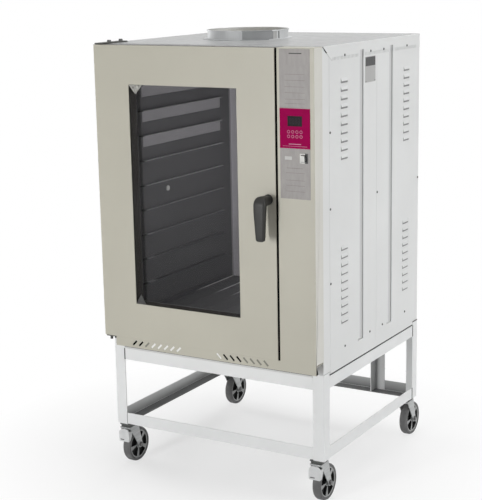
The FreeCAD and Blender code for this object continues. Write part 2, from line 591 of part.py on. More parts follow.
def make_cable_gland():
    """Supply inlet low on the back."""
    wall = "(%s - sheet_gauge)" % BACK
    flange = rod("cable_gland_nut", "y", (GLAND_X, GLAND_Z), "gland_dia", (wall, wall + " + gland_length/2"))
    dome = cone("cable_gland_dome", "y", (GLAND_X, GLAND_Z), ("gland_dome_dia", "gland_stub_dia"),
                (wall + " + gland_length/2", wall + " + gland_length"))
    ends = (wall + " - gland_length", wall + " + gland_length")
    stub = rod("cable_gland_stub", "y", (GLAND_X, GLAND_Z), "gland_stub_dia", (ends[0], wall))
    bore = rod("cable_gland_bore", "y", (GLAND_X, GLAND_Z), "gland_bore_dia", grown(ends, "cut_over"))
    publish("cable_gland", trim("cable_gland_solid", join("cable_gland_blank", flange, dome, stub), bore))


HANDLE_X = "(%s - handle_side)" % DOOR_RIGHT
HANDLE_Z = "(%s + handle_rise)" % DOOR_BOTTOM
FLUE = ("(door_width/2 - cab_width/2)", "(front_depth + cab_depth/2)")
GLAND_X = "(cab_width/2 - gland_side)"
GLAND_Z = "(%s + gland_rise)" % LEG_TOP

make_base_pan()
make_front_frame()
for side_name, side_sign in SIDES.items():
    make_side_panel(side_name, side_sign, "front", -1)
    make_side_panel(side_name, side_sign, "rear", 1)
make_back_panel()
make_top_cover()
make_flue_collar()
make_cable_gland()


# Cooking chamber

FAN_Y = "((%s + %s)/2)" % (CAVITY_FRONT, CAVITY_BACK)
FAN_Z = "(%s + cavity_height/2)" % FLOOR
HEATER_TOP = "(%s + heater_dia/2)" % FAN_Z
LEDGE_YS = ("%s + ledge_front" % CAVITY_FRONT, "%s - ledge_back" % CAVITY_BACK)


def ledge_height(index):
    return "(%s + ledge_first + %d*ledge_pitch)" % (FLOOR, index)


def make_cavity_liner():
    """Chamber box of five welded sheets, open at the front, with ribs along its floor."""
    wide = grown((RACK_LEFT, LINER_RIGHT), "liner_gauge")
    depth = (CAVITY_FRONT, CAVITY_BACK)
    height = (FLOOR, CEILING)
    floor = block("liner_floor", wide, depth, span(FLOOR, "liner_gauge", -1))
    ribs = []
    for index in range(int(size("floor_rib_count"))):
        left = "(%s + %d*floor_rib_pitch)" % (TRAY_LEFT, index + 1)
        ribs.append(block("liner_rib_%d" % index, span(left, "floor_rib_width", 1), LEDGE_YS,
                          span(FLOOR, "floor_rib_height", 1)))
    wall = grown((LINER_RIGHT, LINER_OUT), "cut_over")
    holes = [rod("liner_shaft_hole", "x", (FAN_Y, FAN_Z), "shaft_dia + 2*shaft_room", wall)]
    for index in range(2):
        holes.append(rod("liner_heater_hole_%d" % index, "x", (heater_tail_y(index), HEATER_TOP),
                         "heater_tube_dia + 2*run_gap", wall))
    sheets = [
        join("liner_floor_ribbed", floor, *ribs),
        block("liner_ceiling", wide, depth, span(CEILING, "liner_gauge", 1)),
        block("liner_left", span(RACK_LEFT, "liner_gauge", -1), depth, height),
        trim("liner_right", block("liner_right_sheet", (LINER_RIGHT, LINER_OUT), depth, height), *holes),
        block("liner_back", wide, span(CAVITY_BACK, "liner_gauge", 1), grown(height, "liner_gauge")),
    ]
    publish("cavity_liner", group("cavity_liner_sheets", sheets))


def make_insulation():
    """Mineral wool jacket round the liner; it stops short of the latch behind the front frame."""
    liner = ((RACK_LEFT + " - liner_gauge", LINER_OUT), (CAVITY_FRONT, "%s + liner_gauge" % CAVITY_BACK),
             (FLOOR + " - liner_gauge", CEILING + " + liner_gauge"))
    outer = block("insulation_outer",
                  (liner[0][0] + " - insulation_gauge", liner[0][1] + " + insulation_right"),
                  (CAVITY_FRONT, liner[1][1] + " + insulation_gauge"), grown(liner[2], "insulation_gauge"))
    room = block("insulation_room", liner[0], ("%s - cut_over" % CAVITY_FRONT, liner[1][1]), liner[2])
    notch = block("insulation_latch_room", (LINER_OUT, LINER_OUT + " + insulation_right + cut_over"),
                  ("%s - cut_over" % CAVITY_FRONT, "%s + latch_room" % CAVITY_FRONT),
                  grown(liner[2], "insulation_gauge"))
    through = grown((LINER_OUT, LINER_OUT + " + insulation_right"), "cut_over")
    holes = [rod("insulation_motor_hole", "x", (FAN_Y, FAN_Z), "motor_neck_dia + 2*run_gap", through)]
    for index in range(2):
        holes.append(rod("insulation_heater_hole_%d" % index, "x", (heater_tail_y(index), HEATER_TOP),
                         "heater_flange_dia + 2*run_gap", through))
    publish("insulation", trim("insulation_solid", outer, room, notch, *holes))


def make_rack(tag, face, plate, inward, slotted):
    """Side rack: a backing plate with ten tray ledges, with air slots under the left one's top ledges."""
    name = "rack_" + tag
    ys = ("%s + rack_inset" % CAVITY_FRONT, "%s - rack_inset" % CAVITY_BACK)
    slot_ys = ("%s + air_slot_front" % CAVITY_FRONT, "%s - air_slot_back" % CAVITY_BACK)
    sheet = block(name + "_plate", plate, ys, (FLOOR + " + floor_rib_height", CEILING))
    count = int(size("ledge_count"))
    ledges = []
    slots = []
    for index in range(count):
        height = ledge_height(index)
        ledges.append(block("%s_ledge_%d" % (name, index), span(face, "ledge_depth", inward), LEDGE_YS,
                            (height, height + " + ledge_gauge")))
        if slotted and index >= count - int(size("air_slot_count")):
            slots.append(block("%s_slot_%d" % (name, index), grown(plate, "cut_over"),
                               slot_ys, ("%s - air_slot_height" % height, height)))
    if not slotted:
        fan_window = block(name + "_fan_window", grown(plate, "cut_over"),
                           grown((FAN_Y, FAN_Y), "intake_dia/2"), grown((FAN_Z, FAN_Z), "intake_dia/2"))
        slots.append(fan_window)
    publish(name, join(name + "_solid", trim(name + "_cut", sheet, *slots), *ledges))


def make_fan_baffle():
    """Right-hand chamber wall with the fan intake and two tall outlets."""
    plate = (BAFFLE, PLENUM)
    ys = (CAVITY_FRONT, CAVITY_BACK)
    sheet = block("fan_baffle_sheet", plate, ys, (FLOOR, CEILING))
    intake = rod("fan_baffle_intake", "x", (FAN_Y, FAN_Z), "intake_dia", grown(plate, "cut_over"))
    tall = shrunk((FLOOR, CEILING), "outlet_trim")
    near = span("%s + outlet_margin" % CAVITY_FRONT, "outlet_width", 1)
    far = span("%s - outlet_margin" % CAVITY_BACK, "outlet_width", -1)
    cutters = [
        block("fan_baffle_outlet_near", grown(plate, "cut_over"), near, tall),
        block("fan_baffle_outlet_far", grown(plate, "cut_over"), far, tall),
    ]
    publish("fan_baffle", trim("fan_baffle_solid", sheet, intake, *cutters))


def make_fan():
    """Impeller on its shaft, turning about x."""
    disc_x = "(%s - fan_clear)" % LINER_RIGHT
    blade_x = "(%s - fan_disc - fan_blade)" % disc_x
    pieces = [
        rod("fan_disc_plate", "x", ("0", "0"), "fan_dia", (disc_x + " - fan_disc", disc_x)),
        rod("fan_boss", "x", ("0", "0"), "fan_hub_dia", (blade_x, disc_x)),
        rod("fan_shaft", "x", ("0", "0"), "shaft_dia", (blade_x, LINER_OUT + " + shaft_end")),
    ]
    count = int(size("fan_blade_count"))
    for index in range(count):
        blade = block("fan_blade_%d" % index, (blade_x, disc_x), ("-fan_blade_gauge/2", "fan_blade_gauge/2"),
                      ("fan_dia/2 - fan_blade_height", "fan_dia/2 - run_gap"))
        pieces.append(turned("fan_blade_turned_%d" % index, blade, "x", 360 / count * index))
    publish("fan_impeller", join("fan_impeller_solid", *pieces), "0", FAN_Y, FAN_Z)


def make_motor():
    """Fan motor on the liner's right wall, beside the insulation."""
    neck = (LINER_OUT, LINER_OUT + " + insulation_right")
    can = (neck[1], "%s - motor_side - motor_cap" % RIGHT)
    centre = (FAN_Y, FAN_Z)
    blank = join("fan_motor_blank",
                 rod("fan_motor_neck", "x", centre, "motor_neck_dia", neck),
                 rod("fan_motor_can", "x", centre, "motor_dia", can),
                 rod("fan_motor_cap", "x", centre, "motor_cap_dia", (can[1], can[1] + " + motor_cap")))
    bore = rod("fan_motor_bore", "x", centre, "shaft_dia + 2*fit_gap",
               (LINER_OUT + " - cut_over", LINER_OUT + " + shaft_end + cut_over"))
    publish("fan_motor", trim("fan_motor_solid", blank, bore))


def heater_x(index):
    return "(%s + plenum/2 + (%s)*heater_pitch)" % (PLENUM, ("-0.5", "0.5")[index])


def heater_tail_y(index):
    return "(%s + (%s)*heater_flange_dia)" % (FAN_Y, ("-0.6", "0.6")[index])


def make_heater():
    """Two ring elements round the impeller with straight tails and flanges on the liner's wall."""
    pieces = []
    for index in range(2):
        ring = doc.addObject("Part::Torus", "heater_ring_%d" % index)
        ring.Placement.Rotation = TURN["x"]
        bind(ring, "Radius1", "heater_dia/2")
        bind(ring, "Radius2", "heater_tube_dia/2")
        seat(ring, heater_x(index), FAN_Y, FAN_Z)
        tail = rod("heater_tail_%d" % index, "x", (heater_tail_y(index), HEATER_TOP), "heater_tube_dia",
                   (heater_x(index), LINER_OUT + " + heater_tail"))
        flange = rod("heater_flange_%d" % index, "x", (heater_tail_y(index), HEATER_TOP),
                     "heater_flange_dia", (LINER_OUT, LINER_OUT + " + heater_flange"))
        pieces.append(join("heater_element_%d" % index, ring, tail, flange))
    publish("heater", group("heater_set", pieces))


def make_lamp():
    """Small round chamber lamp on the left wall."""
    centre = ("%s + lamp_depth" % CAVITY_FRONT, "%s + lamp_rise" % FLOOR)
    lens = rod("cavity_lamp_lens", "x", centre, "lamp_dia", (TRAY_LEFT, TRAY_LEFT + " + lamp_out"))
    publish("cavity_lamp", lens)


make_cavity_liner()
make_insulation()
make_rack("left", TRAY_LEFT, (RACK_LEFT, TRAY_LEFT), 1, True)
make_rack("right", TRAY_RIGHT, (TRAY_RIGHT, BAFFLE), -1, False)
make_fan_baffle()
make_fan()
make_motor()
make_heater()
make_lamp()


# Door

DOOR_XS = (LEFT, DOOR_RIGHT)
DOOR_ZS = (DOOR_BOTTOM, DOOR_TOP)
WINDOW_XS = ("%s + window_left" % LEFT, "%s + window_left + window_width" % LEFT)
WINDOW_ZS = ("%s + window_sill" % DOOR_BOTTOM, "%s + window_sill + window_height" % DOOR_BOTTOM)
INNER_SHEET = "(door_thick - sheet_gauge)"
PIN = ("(%s + pin_inset_side)" % LEFT, "pin_inset_front")


def make_door_outer():
    """Front pan of the door with hinge bushes in its left corners."""
    pan = block("door_outer_pan", DOOR_XS, ("0", "door_split"), DOOR_ZS)
    room = block("door_outer_room", shrunk(DOOR_XS, "sheet_gauge"), ("sheet_gauge", "door_split + cut_over"),
                 shrunk(DOOR_ZS, "sheet_gauge"))
    shell = trim("door_outer_shell", pan, room)
    left = "%s + sheet_gauge" % LEFT
    bushes = []
    bores = []
    for tag, edge, sign in (("top", DOOR_TOP, -1), ("bottom", DOOR_BOTTOM, 1)):
        inside = "%s + (%d)*sheet_gauge" % (edge, sign)
        bushes.append(block("door_bush_" + tag, (left, "%s + bush_size" % LEFT),
                            ("sheet_gauge", "bush_size"), span(inside, "bush_depth", sign)))
        start = "%s - (%d)*cut_over" % (edge, sign)
        bores.append(rod("door_bore_" + tag, "z", PIN, "hinge_pin_dia + 2*fit_gap",
                         span(start, "pin_engage + 2*cut_over", sign)))
    window = block("door_outer_window", WINDOW_XS, grown(("0", "sheet_gauge"), "cut_over"), WINDOW_ZS)
    spindle = rod("door_outer_spindle_hole", "y", (HANDLE_X, HANDLE_Z), "spindle_dia + 2*spindle_room",
                  grown(("0", "sheet_gauge"), "cut_over"))
    blank = join("door_outer_blank", shell, *bushes)
    publish("door_outer", trim("door_outer_solid", blank, window, spindle, *bores))


def make_door_inner():
    """Back pan of the door."""
    ys = ("door_split", "door_thick")
    pan = block("door_inner_pan", DOOR_XS, ys, DOOR_ZS)
    room = block("door_inner_room", shrunk(DOOR_XS, "sheet_gauge"), ("door_split - cut_over", INNER_SHEET),
                 shrunk(DOOR_ZS, "sheet_gauge"))
    window = block("door_inner_window", WINDOW_XS, grown(ys, "cut_over"), WINDOW_ZS)
    spindle = rod("door_inner_spindle_hole", "y", (HANDLE_X, HANDLE_Z), "spindle_dia + 2*spindle_room",
                  grown(ys, "cut_over"))
    publish("door_inner", trim("door_inner_solid", pan, room, window, spindle))


def make_glazing():
    """Two panes held apart by a black spacer that lines the window."""
    wide = (grown(WINDOW_XS, "glass_lap"), grown(WINDOW_ZS, "glass_lap"))
    outer = ("sheet_gauge", "sheet_gauge + glass_gauge")
    inner = ("%s - glass_gauge" % INNER_SHEET, INNER_SHEET)
    publish("glass_outer", block("glass_outer_pane", wide[0], outer, wide[1]))
    publish("glass_inner", block("glass_inner_pane", wide[0], inner, wide[1]))
    gap = (outer[1], inner[0])
    frame = block("window_spacer_frame", grown(WINDOW_XS, "spacer_gauge"), gap,
                  grown(WINDOW_ZS, "spacer_gauge"))
    room = block("window_spacer_room", WINDOW_XS, grown(gap, "cut_over"), WINDOW_ZS)
    publish("window_spacer", trim("window_spacer_solid", frame, room))


def make_gasket():
    """Seal on the door's back, round the chamber mouth."""
    ys = ("door_thick", "%s - gasket_gap" % FRONT)
    mouth = ((TRAY_LEFT, BAFFLE), (FLOOR, CEILING))
    outer = block("door_gasket_outer", grown(mouth[0], "gasket_out"), ys, grown(mouth[1], "gasket_out"))
    inner = block("door_gasket_inner", grown(mouth[0], "gasket_out - gasket_width"), grown(ys, "cut_over"),
                  grown(mouth[1], "gasket_out - gasket_width"))
    publish("door_gasket", trim("door_gasket_solid", outer, inner))


def make_hinges():
    """Strap over the door and bracket under it, each with the pin that the door turns on."""
    xs = span("%s + hinge_edge" % LEFT, "hinge_width", 1)
    strap = block("hinge_top_strap", xs, ("hinge_edge", "hinge_edge + hinge_strap"),
                  (CAB_TOP, CAB_TOP + " + hinge_gauge"))
    top_pin = rod("hinge_top_pin", "z", PIN, "hinge_pin_dia", (DOOR_TOP + " - pin_engage", CAB_TOP))
    shelf_top = "(%s - door_top_gap)" % DOOR_BOTTOM
    shelf = block("hinge_bottom_shelf", xs, ("hinge_edge", FRONT), (shelf_top + " - hinge_gauge", shelf_top))
    foot = block("hinge_bottom_foot", xs, ("%s - hinge_gauge" % FRONT, FRONT),
                 (shelf_top + " - hinge_foot", shelf_top))
    low_pin = rod("hinge_bottom_pin", "z", PIN, "hinge_pin_dia",
                  (shelf_top + " - hinge_gauge - pin_tail", DOOR_BOTTOM + " + pin_engage"))
    publish("hinge_top", join("hinge_top_solid", strap, top_pin))
    publish("hinge_bottom", join("hinge_bottom_solid", shelf, foot, low_pin))


def make_handle():
    """Lever handle that hangs down when shut, its rose on the door, and the latch tongue on its spindle."""
    across = (HANDLE_X, HANDLE_Z)
    rose = rod("handle_rose_disc", "y", across, "rose_dia", ("-rose_depth", "0"))
    hole = rod("handle_rose_hole", "y", across, "spindle_dia + 2*fit_gap",
               grown(("-rose_depth", "0"), "cut_over"))
    publish("handle_rose", trim("handle_rose_solid", rose, hole))

    front = ("-%s" % HANDLE_REACH, "-grip_gap")
    foot_z = "(%s - grip_length)" % HANDLE_Z
    tongue_y = span("(%s + tongue_gap)" % CAVITY_FRONT, "tongue_gauge", 1)
    pieces = [
        rod("handle_head", "y", across, "grip_top_width", front),
        rod("handle_foot", "y", (HANDLE_X, foot_z), "grip_end_width", front),
        taper("handle_grip", (foot_z, HANDLE_Z),
              grown((HANDLE_X, HANDLE_X), "grip_end_width/2") + front,
              grown((HANDLE_X, HANDLE_X), "grip_top_width/2") + front),
        rod("handle_neck", "y", across, "neck_dia", ("-grip_gap", "-rose_depth - run_gap")),
        rod("handle_spindle", "y", across, "spindle_dia", ("-rose_depth - run_gap", tongue_y[1])),
        rod("handle_tongue_root", "y", across, "tongue_width", tongue_y),
        block("handle_tongue", (HANDLE_X, HANDLE_X + " + tongue_length"), tongue_y,
              grown((HANDLE_Z, HANDLE_Z), "tongue_width/2")),
    ]
    publish("handle", join("handle_solid", *pieces))

    low = "(%s + tongue_width/2 + run_gap)" % HANDLE_Z
    right = "(%s + tongue_length)" % HANDLE_X
    publish("latch_keeper", block("latch_keeper_block", span(right, "keeper_width", -1),
                                  (CAVITY_FRONT, CAVITY_FRONT + " + keeper_depth"),
                                  (low, low + " + keeper_height")))


make_door_outer()
make_door_inner()
make_glazing()
make_gasket()
make_hinges()
make_handle()


# Fascia and controls

OVERLAY_XS = span("%s + overlay_left" % COLUMN_LEFT, "overlay_width", 1)
OVERLAY_TOP = "(%s - overlay_top)" % DOOR_TOP
KEYPAD_TOP = "(%s - keypad_drop)" % DOOR_TOP
KEYPAD_FACE = "(-overlay_gauge - keypad_gauge)"
KEYPAD_MIDDLE = "(%s + overlay_left + overlay_width/2)" % COLUMN_LEFT
ROCKER_X = "(%s + rocker_left + rocker_width/2)" % COLUMN_LEFT
ROCKER_Z = "(%s - rocker_drop)" % DOOR_TOP
SWITCH_XS = grown((ROCKER_X, ROCKER_X), "rocker_width/2 - bezel_wall/2")
SWITCH_ZS = grown((ROCKER_Z, ROCKER_Z), "rocker_height/2 - bezel_wall/2")


def make_vents():
    """Slanted slots in the apron: one group leans right, the other left."""
    slots = []
    middle = "(%s + apron_height/2 + vent_lift)" % APRON_BOTTOM
    for tag, start, sign in (("left", "vent_left", 1), ("right", "vent_right", -1)):
        angle = sign * size("vent_lean")
        for index in range(int(size("vent_count"))):
            slot = doc.addObject("Part::Box", "vent_%s_%d" % (tag, index))
            slot.Placement.Rotation = FreeCAD.Rotation(AXES["y"], angle)
            bind(slot, "Length", "vent_width")
            bind(slot, "Width", "sheet_gauge + 2*cut_over")
            bind(slot, "Height", "vent_length")
            lean = "(%d*vent_lean)" % sign
            seat(slot,
                 "%s + %s + %d*vent_pitch - vent_width/2*cos(%s) - vent_length/2*sin(%s)"
                 % (LEFT, start, index, lean, lean),
                 "-cut_over",
                 "%s + vent_width/2*sin(%s) - vent_length/2*cos(%s)" % (middle, lean, lean))
            slots.append(slot)
    return slots


def make_fascia():
    """Control column beside the door and the apron below it, folded from one sheet."""
    xs = (COLUMN_LEFT, RIGHT)
    zs = (DOOR_BOTTOM, DOOR_TOP)
    column = trim("fascia_column",
                  block("fascia_column_box", xs, ("0", FRONT), zs),
                  block("fascia_column_room", shrunk(xs, "sheet_gauge"),
                        ("sheet_gauge", FRONT + " + cut_over"), shrunk(zs, "sheet_gauge")))
    apron_xs = ("%s + apron_left" % LEFT, RIGHT)
    pieces = [
        column,
        block("fascia_apron", apron_xs, ("0", "sheet_gauge"), (APRON_BOTTOM, APRON_TOP)),
        block("fascia_apron_shelf", apron_xs, ("0", FRONT), (APRON_TOP + " - sheet_gauge", APRON_TOP)),
        block("fascia_apron_lip", apron_xs, ("0", "apron_lip"), span(APRON_BOTTOM, "sheet_gauge", 1)),
        block("fascia_link", xs, ("0", "sheet_gauge"), (APRON_TOP, DOOR_BOTTOM)),
    ]
    switch = block("fascia_switch_hole", SWITCH_XS, grown(("0", "sheet_gauge"), "cut_over"), SWITCH_ZS)
    publish("fascia", trim("fascia_solid", join("fascia_blank", *pieces), switch, *make_vents()))


def make_overlay():
    """Control face plate, the soft keypad with its raised keys, and the display window on it."""
    ys = ("-overlay_gauge", "0")
    sheet = block("control_overlay_sheet", OVERLAY_XS, ys, (OVERLAY_TOP + " - overlay_height", OVERLAY_TOP))
    switch = block("control_overlay_switch_hole", SWITCH_XS, grown(ys, "cut_over"), SWITCH_ZS)
    publish("control_overlay", trim("control_overlay_solid", sheet, switch))

    pieces = [block("keypad_sheet", OVERLAY_XS, (KEYPAD_FACE, "-overlay_gauge"),
                    (KEYPAD_TOP + " - keypad_height", KEYPAD_TOP))]
    columns = int(size("key_columns"))
    for row in range(int(size("key_rows"))):
        for column in range(columns):
            key_x = "(%s + (%d - (key_columns - 1)/2)*key_pitch)" % (KEYPAD_MIDDLE, column)
            key_z = "(%s - key_drop - %d*key_pitch)" % (KEYPAD_TOP, row)
            pieces.append(rod("keypad_key_%d_%d" % (row, column), "y", (key_x, key_z), "key_dia",
                              (KEYPAD_FACE + " - key_rise", KEYPAD_FACE)))
    publish("keypad_panel", join("keypad_panel_solid", *pieces))

    top = "(%s - display_drop)" % KEYPAD_TOP
    pane = block("display_window_pane", grown((KEYPAD_MIDDLE, KEYPAD_MIDDLE), "display_width/2"),
                 (KEYPAD_FACE + " - display_gauge", KEYPAD_FACE), (top + " - display_height", top))
    publish("display_window", pane)


def make_switch():
    """Rocker switch: a bezel through the column's face and a paddle that tips on its cross pin."""
    face = "-overlay_gauge"
    outer = block("rocker_bezel_flange", grown((ROCKER_X, ROCKER_X), "rocker_width/2"),
                  (face + " - bezel_gauge", face), grown((ROCKER_Z, ROCKER_Z), "rocker_height/2"))
    body = block("rocker_bezel_body", shrunk(SWITCH_XS, "fit_gap"), (face, "bezel_depth"),
                 shrunk(SWITCH_ZS, "fit_gap"))
    well_xs = grown((ROCKER_X, ROCKER_X), "rocker_width/2 - bezel_wall")
    well = block("rocker_bezel_well", well_xs,
                 (face + " - bezel_gauge - cut_over", "bezel_depth - bezel_wall"),
                 grown((ROCKER_Z, ROCKER_Z), "rocker_height/2 - bezel_wall"))
    pin_xs = grown(well_xs, "paddle_pin_depth")
    pin_hole = rod("rocker_bezel_pin_hole", "x", ("0", ROCKER_Z), "paddle_pin_dia + 2*fit_gap", pin_xs)
    blank = join("rocker_bezel_blank", outer, body)
    publish("rocker_bezel", trim("rocker_bezel_solid", blank, well, pin_hole))

    paddle = block("rocker_paddle", shrunk(well_xs, "paddle_room"),
                   (face + " - bezel_gauge - paddle_out", "paddle_depth/2"),
                   shrunk(("-rocker_height/2", "rocker_height/2"), "bezel_wall + 2*paddle_room"))
    pin = rod("rocker_pin", "x", ("0", "0"), "paddle_pin_dia", shrunk(pin_xs, "fit_gap"))
    tipped = turned("rocker_tipped", join("rocker_solid", paddle, pin), "x", size("paddle_tilt"))
    publish("rocker", tipped, "0", "0", ROCKER_Z)


def make_controller():
    """Controller box behind the keypad, on the back of the column's face."""
    middle = "(%s - keypad_height/2)" % KEYPAD_TOP
    box = block("controller_box", grown((KEYPAD_MIDDLE, KEYPAD_MIDDLE), "controller_width/2"),
                span("sheet_gauge", "controller_depth", 1), grown((middle, middle), "controller_height/2"))
    publish("controller", box)


make_fascia()
make_overlay()
make_switch()
make_controller()


# Fasteners

def screw_heads(tag, side):
    """Panel screws on one side: a row low down, one on the skirt, and the upright edges."""
    low = "(%s + screw_row_low)" % LEG_TOP
    high = "(%s - screw_row_high)" % CAB_TOP
    face = "(%d)*%s" % (side, SKIN)
    skirt = "(%d)*cab_width/2" % side
    spots = []
    for toward in (-1, 1):
        for index in range(2):
            y = "%s + (%d)*(screw_from_seam + %d*screw_pitch)" % (SEAM, toward, index)
            spots.append((face, y, low))
            spots.append((skirt, y, high))
    centre = "(%s + cab_height/2 + screw_lift)" % LEG_TOP
    front_edge = "%s + return_depth + panel_gap + screw_edge" % FRONT
    for step in (-1, 0, 1):
        spots.append((face, front_edge, "%s + (%d)*screw_mid" % (centre, step)))
    spots.append((face, "%s + screw_edge" % SEAM, centre))
    spots.append((face, "%s - screw_edge - 2*sheet_gauge" % BACK, centre))
    heads = []
    for index, (plane, y, z) in enumerate(spots):
        heads.append(rod("screw_%s_%d" % (tag, index), "x", (y, z), "screw_dia",
                         span(plane, "screw_head", side)))
    return heads


def make_fasteners():
    """Panel screws of both sides and the two bolts of the hinge strap."""
    heads = []
    for tag, side in SIDES.items():
        heads.extend(screw_heads(tag, side))
    seat_z = CAB_TOP + " + hinge_gauge"
    for index in range(2):
        y = "hinge_bolt_first + %d*hinge_bolt_pitch" % index
        heads.append(rod("hinge_bolt_%d" % index, "z", ("%s + hinge_edge + hinge_width/2" % LEFT, y),
                         "hinge_bolt_dia", (seat_z, seat_z + " + hinge_bolt_head")))
    publish("fasteners", group("fastener_set", heads))


make_fasteners()


# Check and write

doc.recompute()
faults = [obj.Name for obj in doc.Objects if "Invalid" in obj.State or "Error" in obj.State]
for piece in sub_parts:
    if piece.Shape.isNull() or not piece.Shape.isValid() or not piece.Shape.Solids:
        faults.append(piece.Label)
if faults:
    raise RuntimeError("failed objects: " + ", ".join(faults))

os.makedirs("parts", exist_ok=True)
for piece in sub_parts:
    piece.Shape.exportStep("parts/%s.step" % piece.Label)
print(len(sub_parts), "sub-parts written")
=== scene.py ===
import json
import math

import bmesh
import bpy
from mathutils import Matrix, Vector


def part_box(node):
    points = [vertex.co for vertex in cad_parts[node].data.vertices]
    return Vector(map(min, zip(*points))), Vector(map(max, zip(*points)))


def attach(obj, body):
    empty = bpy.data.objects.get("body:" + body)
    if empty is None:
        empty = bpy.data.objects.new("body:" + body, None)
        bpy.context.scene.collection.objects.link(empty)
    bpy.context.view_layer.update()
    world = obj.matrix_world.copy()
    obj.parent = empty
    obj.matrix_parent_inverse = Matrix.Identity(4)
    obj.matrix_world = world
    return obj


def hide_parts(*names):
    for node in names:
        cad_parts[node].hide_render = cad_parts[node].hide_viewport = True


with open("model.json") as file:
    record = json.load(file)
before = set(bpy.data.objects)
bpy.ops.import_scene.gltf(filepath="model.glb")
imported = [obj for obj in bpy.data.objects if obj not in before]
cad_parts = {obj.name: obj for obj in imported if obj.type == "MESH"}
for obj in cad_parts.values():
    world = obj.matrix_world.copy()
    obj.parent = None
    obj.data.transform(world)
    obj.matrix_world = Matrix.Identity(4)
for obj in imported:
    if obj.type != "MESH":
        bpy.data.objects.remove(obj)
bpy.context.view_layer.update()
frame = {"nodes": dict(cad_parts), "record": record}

# Looks of the convection oven on its wheeled stand. Metres, +Z up, the door faces -Y.

NODES = frame["nodes"]
BODY_OF = {n: body for body, nodes in frame["record"]["behaviour"]["bodies"].items() for n in nodes}
SLOT_OF = {part["node"]: part["material_slot"] for part in frame["record"]["subparts"]}
CORNERS = ("front_left", "front_right", "rear_left", "rear_right")
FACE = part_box("door_outer")[0].y
MM = 0.001
X_AXIS = Vector((1, 0, 0))
Y_AXIS = Vector((0, 1, 0))
Z_AXIS = Vector((0, 0, 1))
ACROSS, DEEP, UP = range(3)

# How edges are found and rounded, how near points are welded and how near a face lies on a plane
CRISP = math.radians(32)
CRISP_AFTER_FILLET = math.radians(50)
FILLET_STEPS = 4
NEARLY_FLAT = math.radians(0.5)
WELD = 1e-6
ON_PLANE = 1e-5

# Places that several pieces share, in millimetres
SIDES = (-500, 500)
STAND_FRONT = 64
STAND_BACK = 982
STAND_MIDDLE = (STAND_FRONT + STAND_BACK) / 2
IRON_WIDTH = 50
RAIL_FEET = (190, 480)
CASTER_OUT = 462
FORK_HALF = 25.5
PLATE_FACE = -0.8
FILM_FACE = -2.0


def spot(x, y, z):
    """A point given in millimetres: x from the middle, y back from the door's face, z from the floor."""
    return Vector((x * MM, FACE + y * MM, z * MM))


# Materials

# Usual span of a noise, and the colour sockets of a mix node
NOISE_SPAN = (0.3, 0.7)
MIX_FIRST = 6
MIX_SECOND = 7
MIX_COLOUR = 2

# Spans in metres over which a look changes: along x, up, or back from the door's face
GROOVE_DEPTH = (0.4930, 0.4982)
PAN_FLANK = (0.485, 0.486)
PAN_SLIT = (0.5375, 0.5365)
RAIL_SHADE = (0.238, 0.196)
REAR_RAIL = (0.968, 0.972)
POST_CORNER = (0.304, 0.326)
POST_EDGE = (0.2995, 0.2985)
SWITCH_EDGE = (0.4600, 0.4606)
CHAMBER_BACK = (0.8885, 0.8895)
CHAMBER_FAR = (0.54, 0.66)
CHAMBER_FLOOR = (0.6758, 0.6765)
RIB_TOPS = (0.6738, 0.6745)
FLOOR_FADE = (0.30, 0.12)
RACK_DARK_FRONT = (0.160, 0.170)
RACK_FOOT = (0.6800, 0.6792)
RACK_LIT_HEIGHT = (0.86, 1.20)
RACK_FRONT = (0.235, 0.205)
LEDGE_FOLD = 0.0006
FLUE_LEFT = (-0.0195, -0.0185)
FLUE_RIGHT = (0.0740, 0.0735)
FLUE_FRONT = (0.02, 0.01)
FLUE_SHADE = (0.01, 0.07)


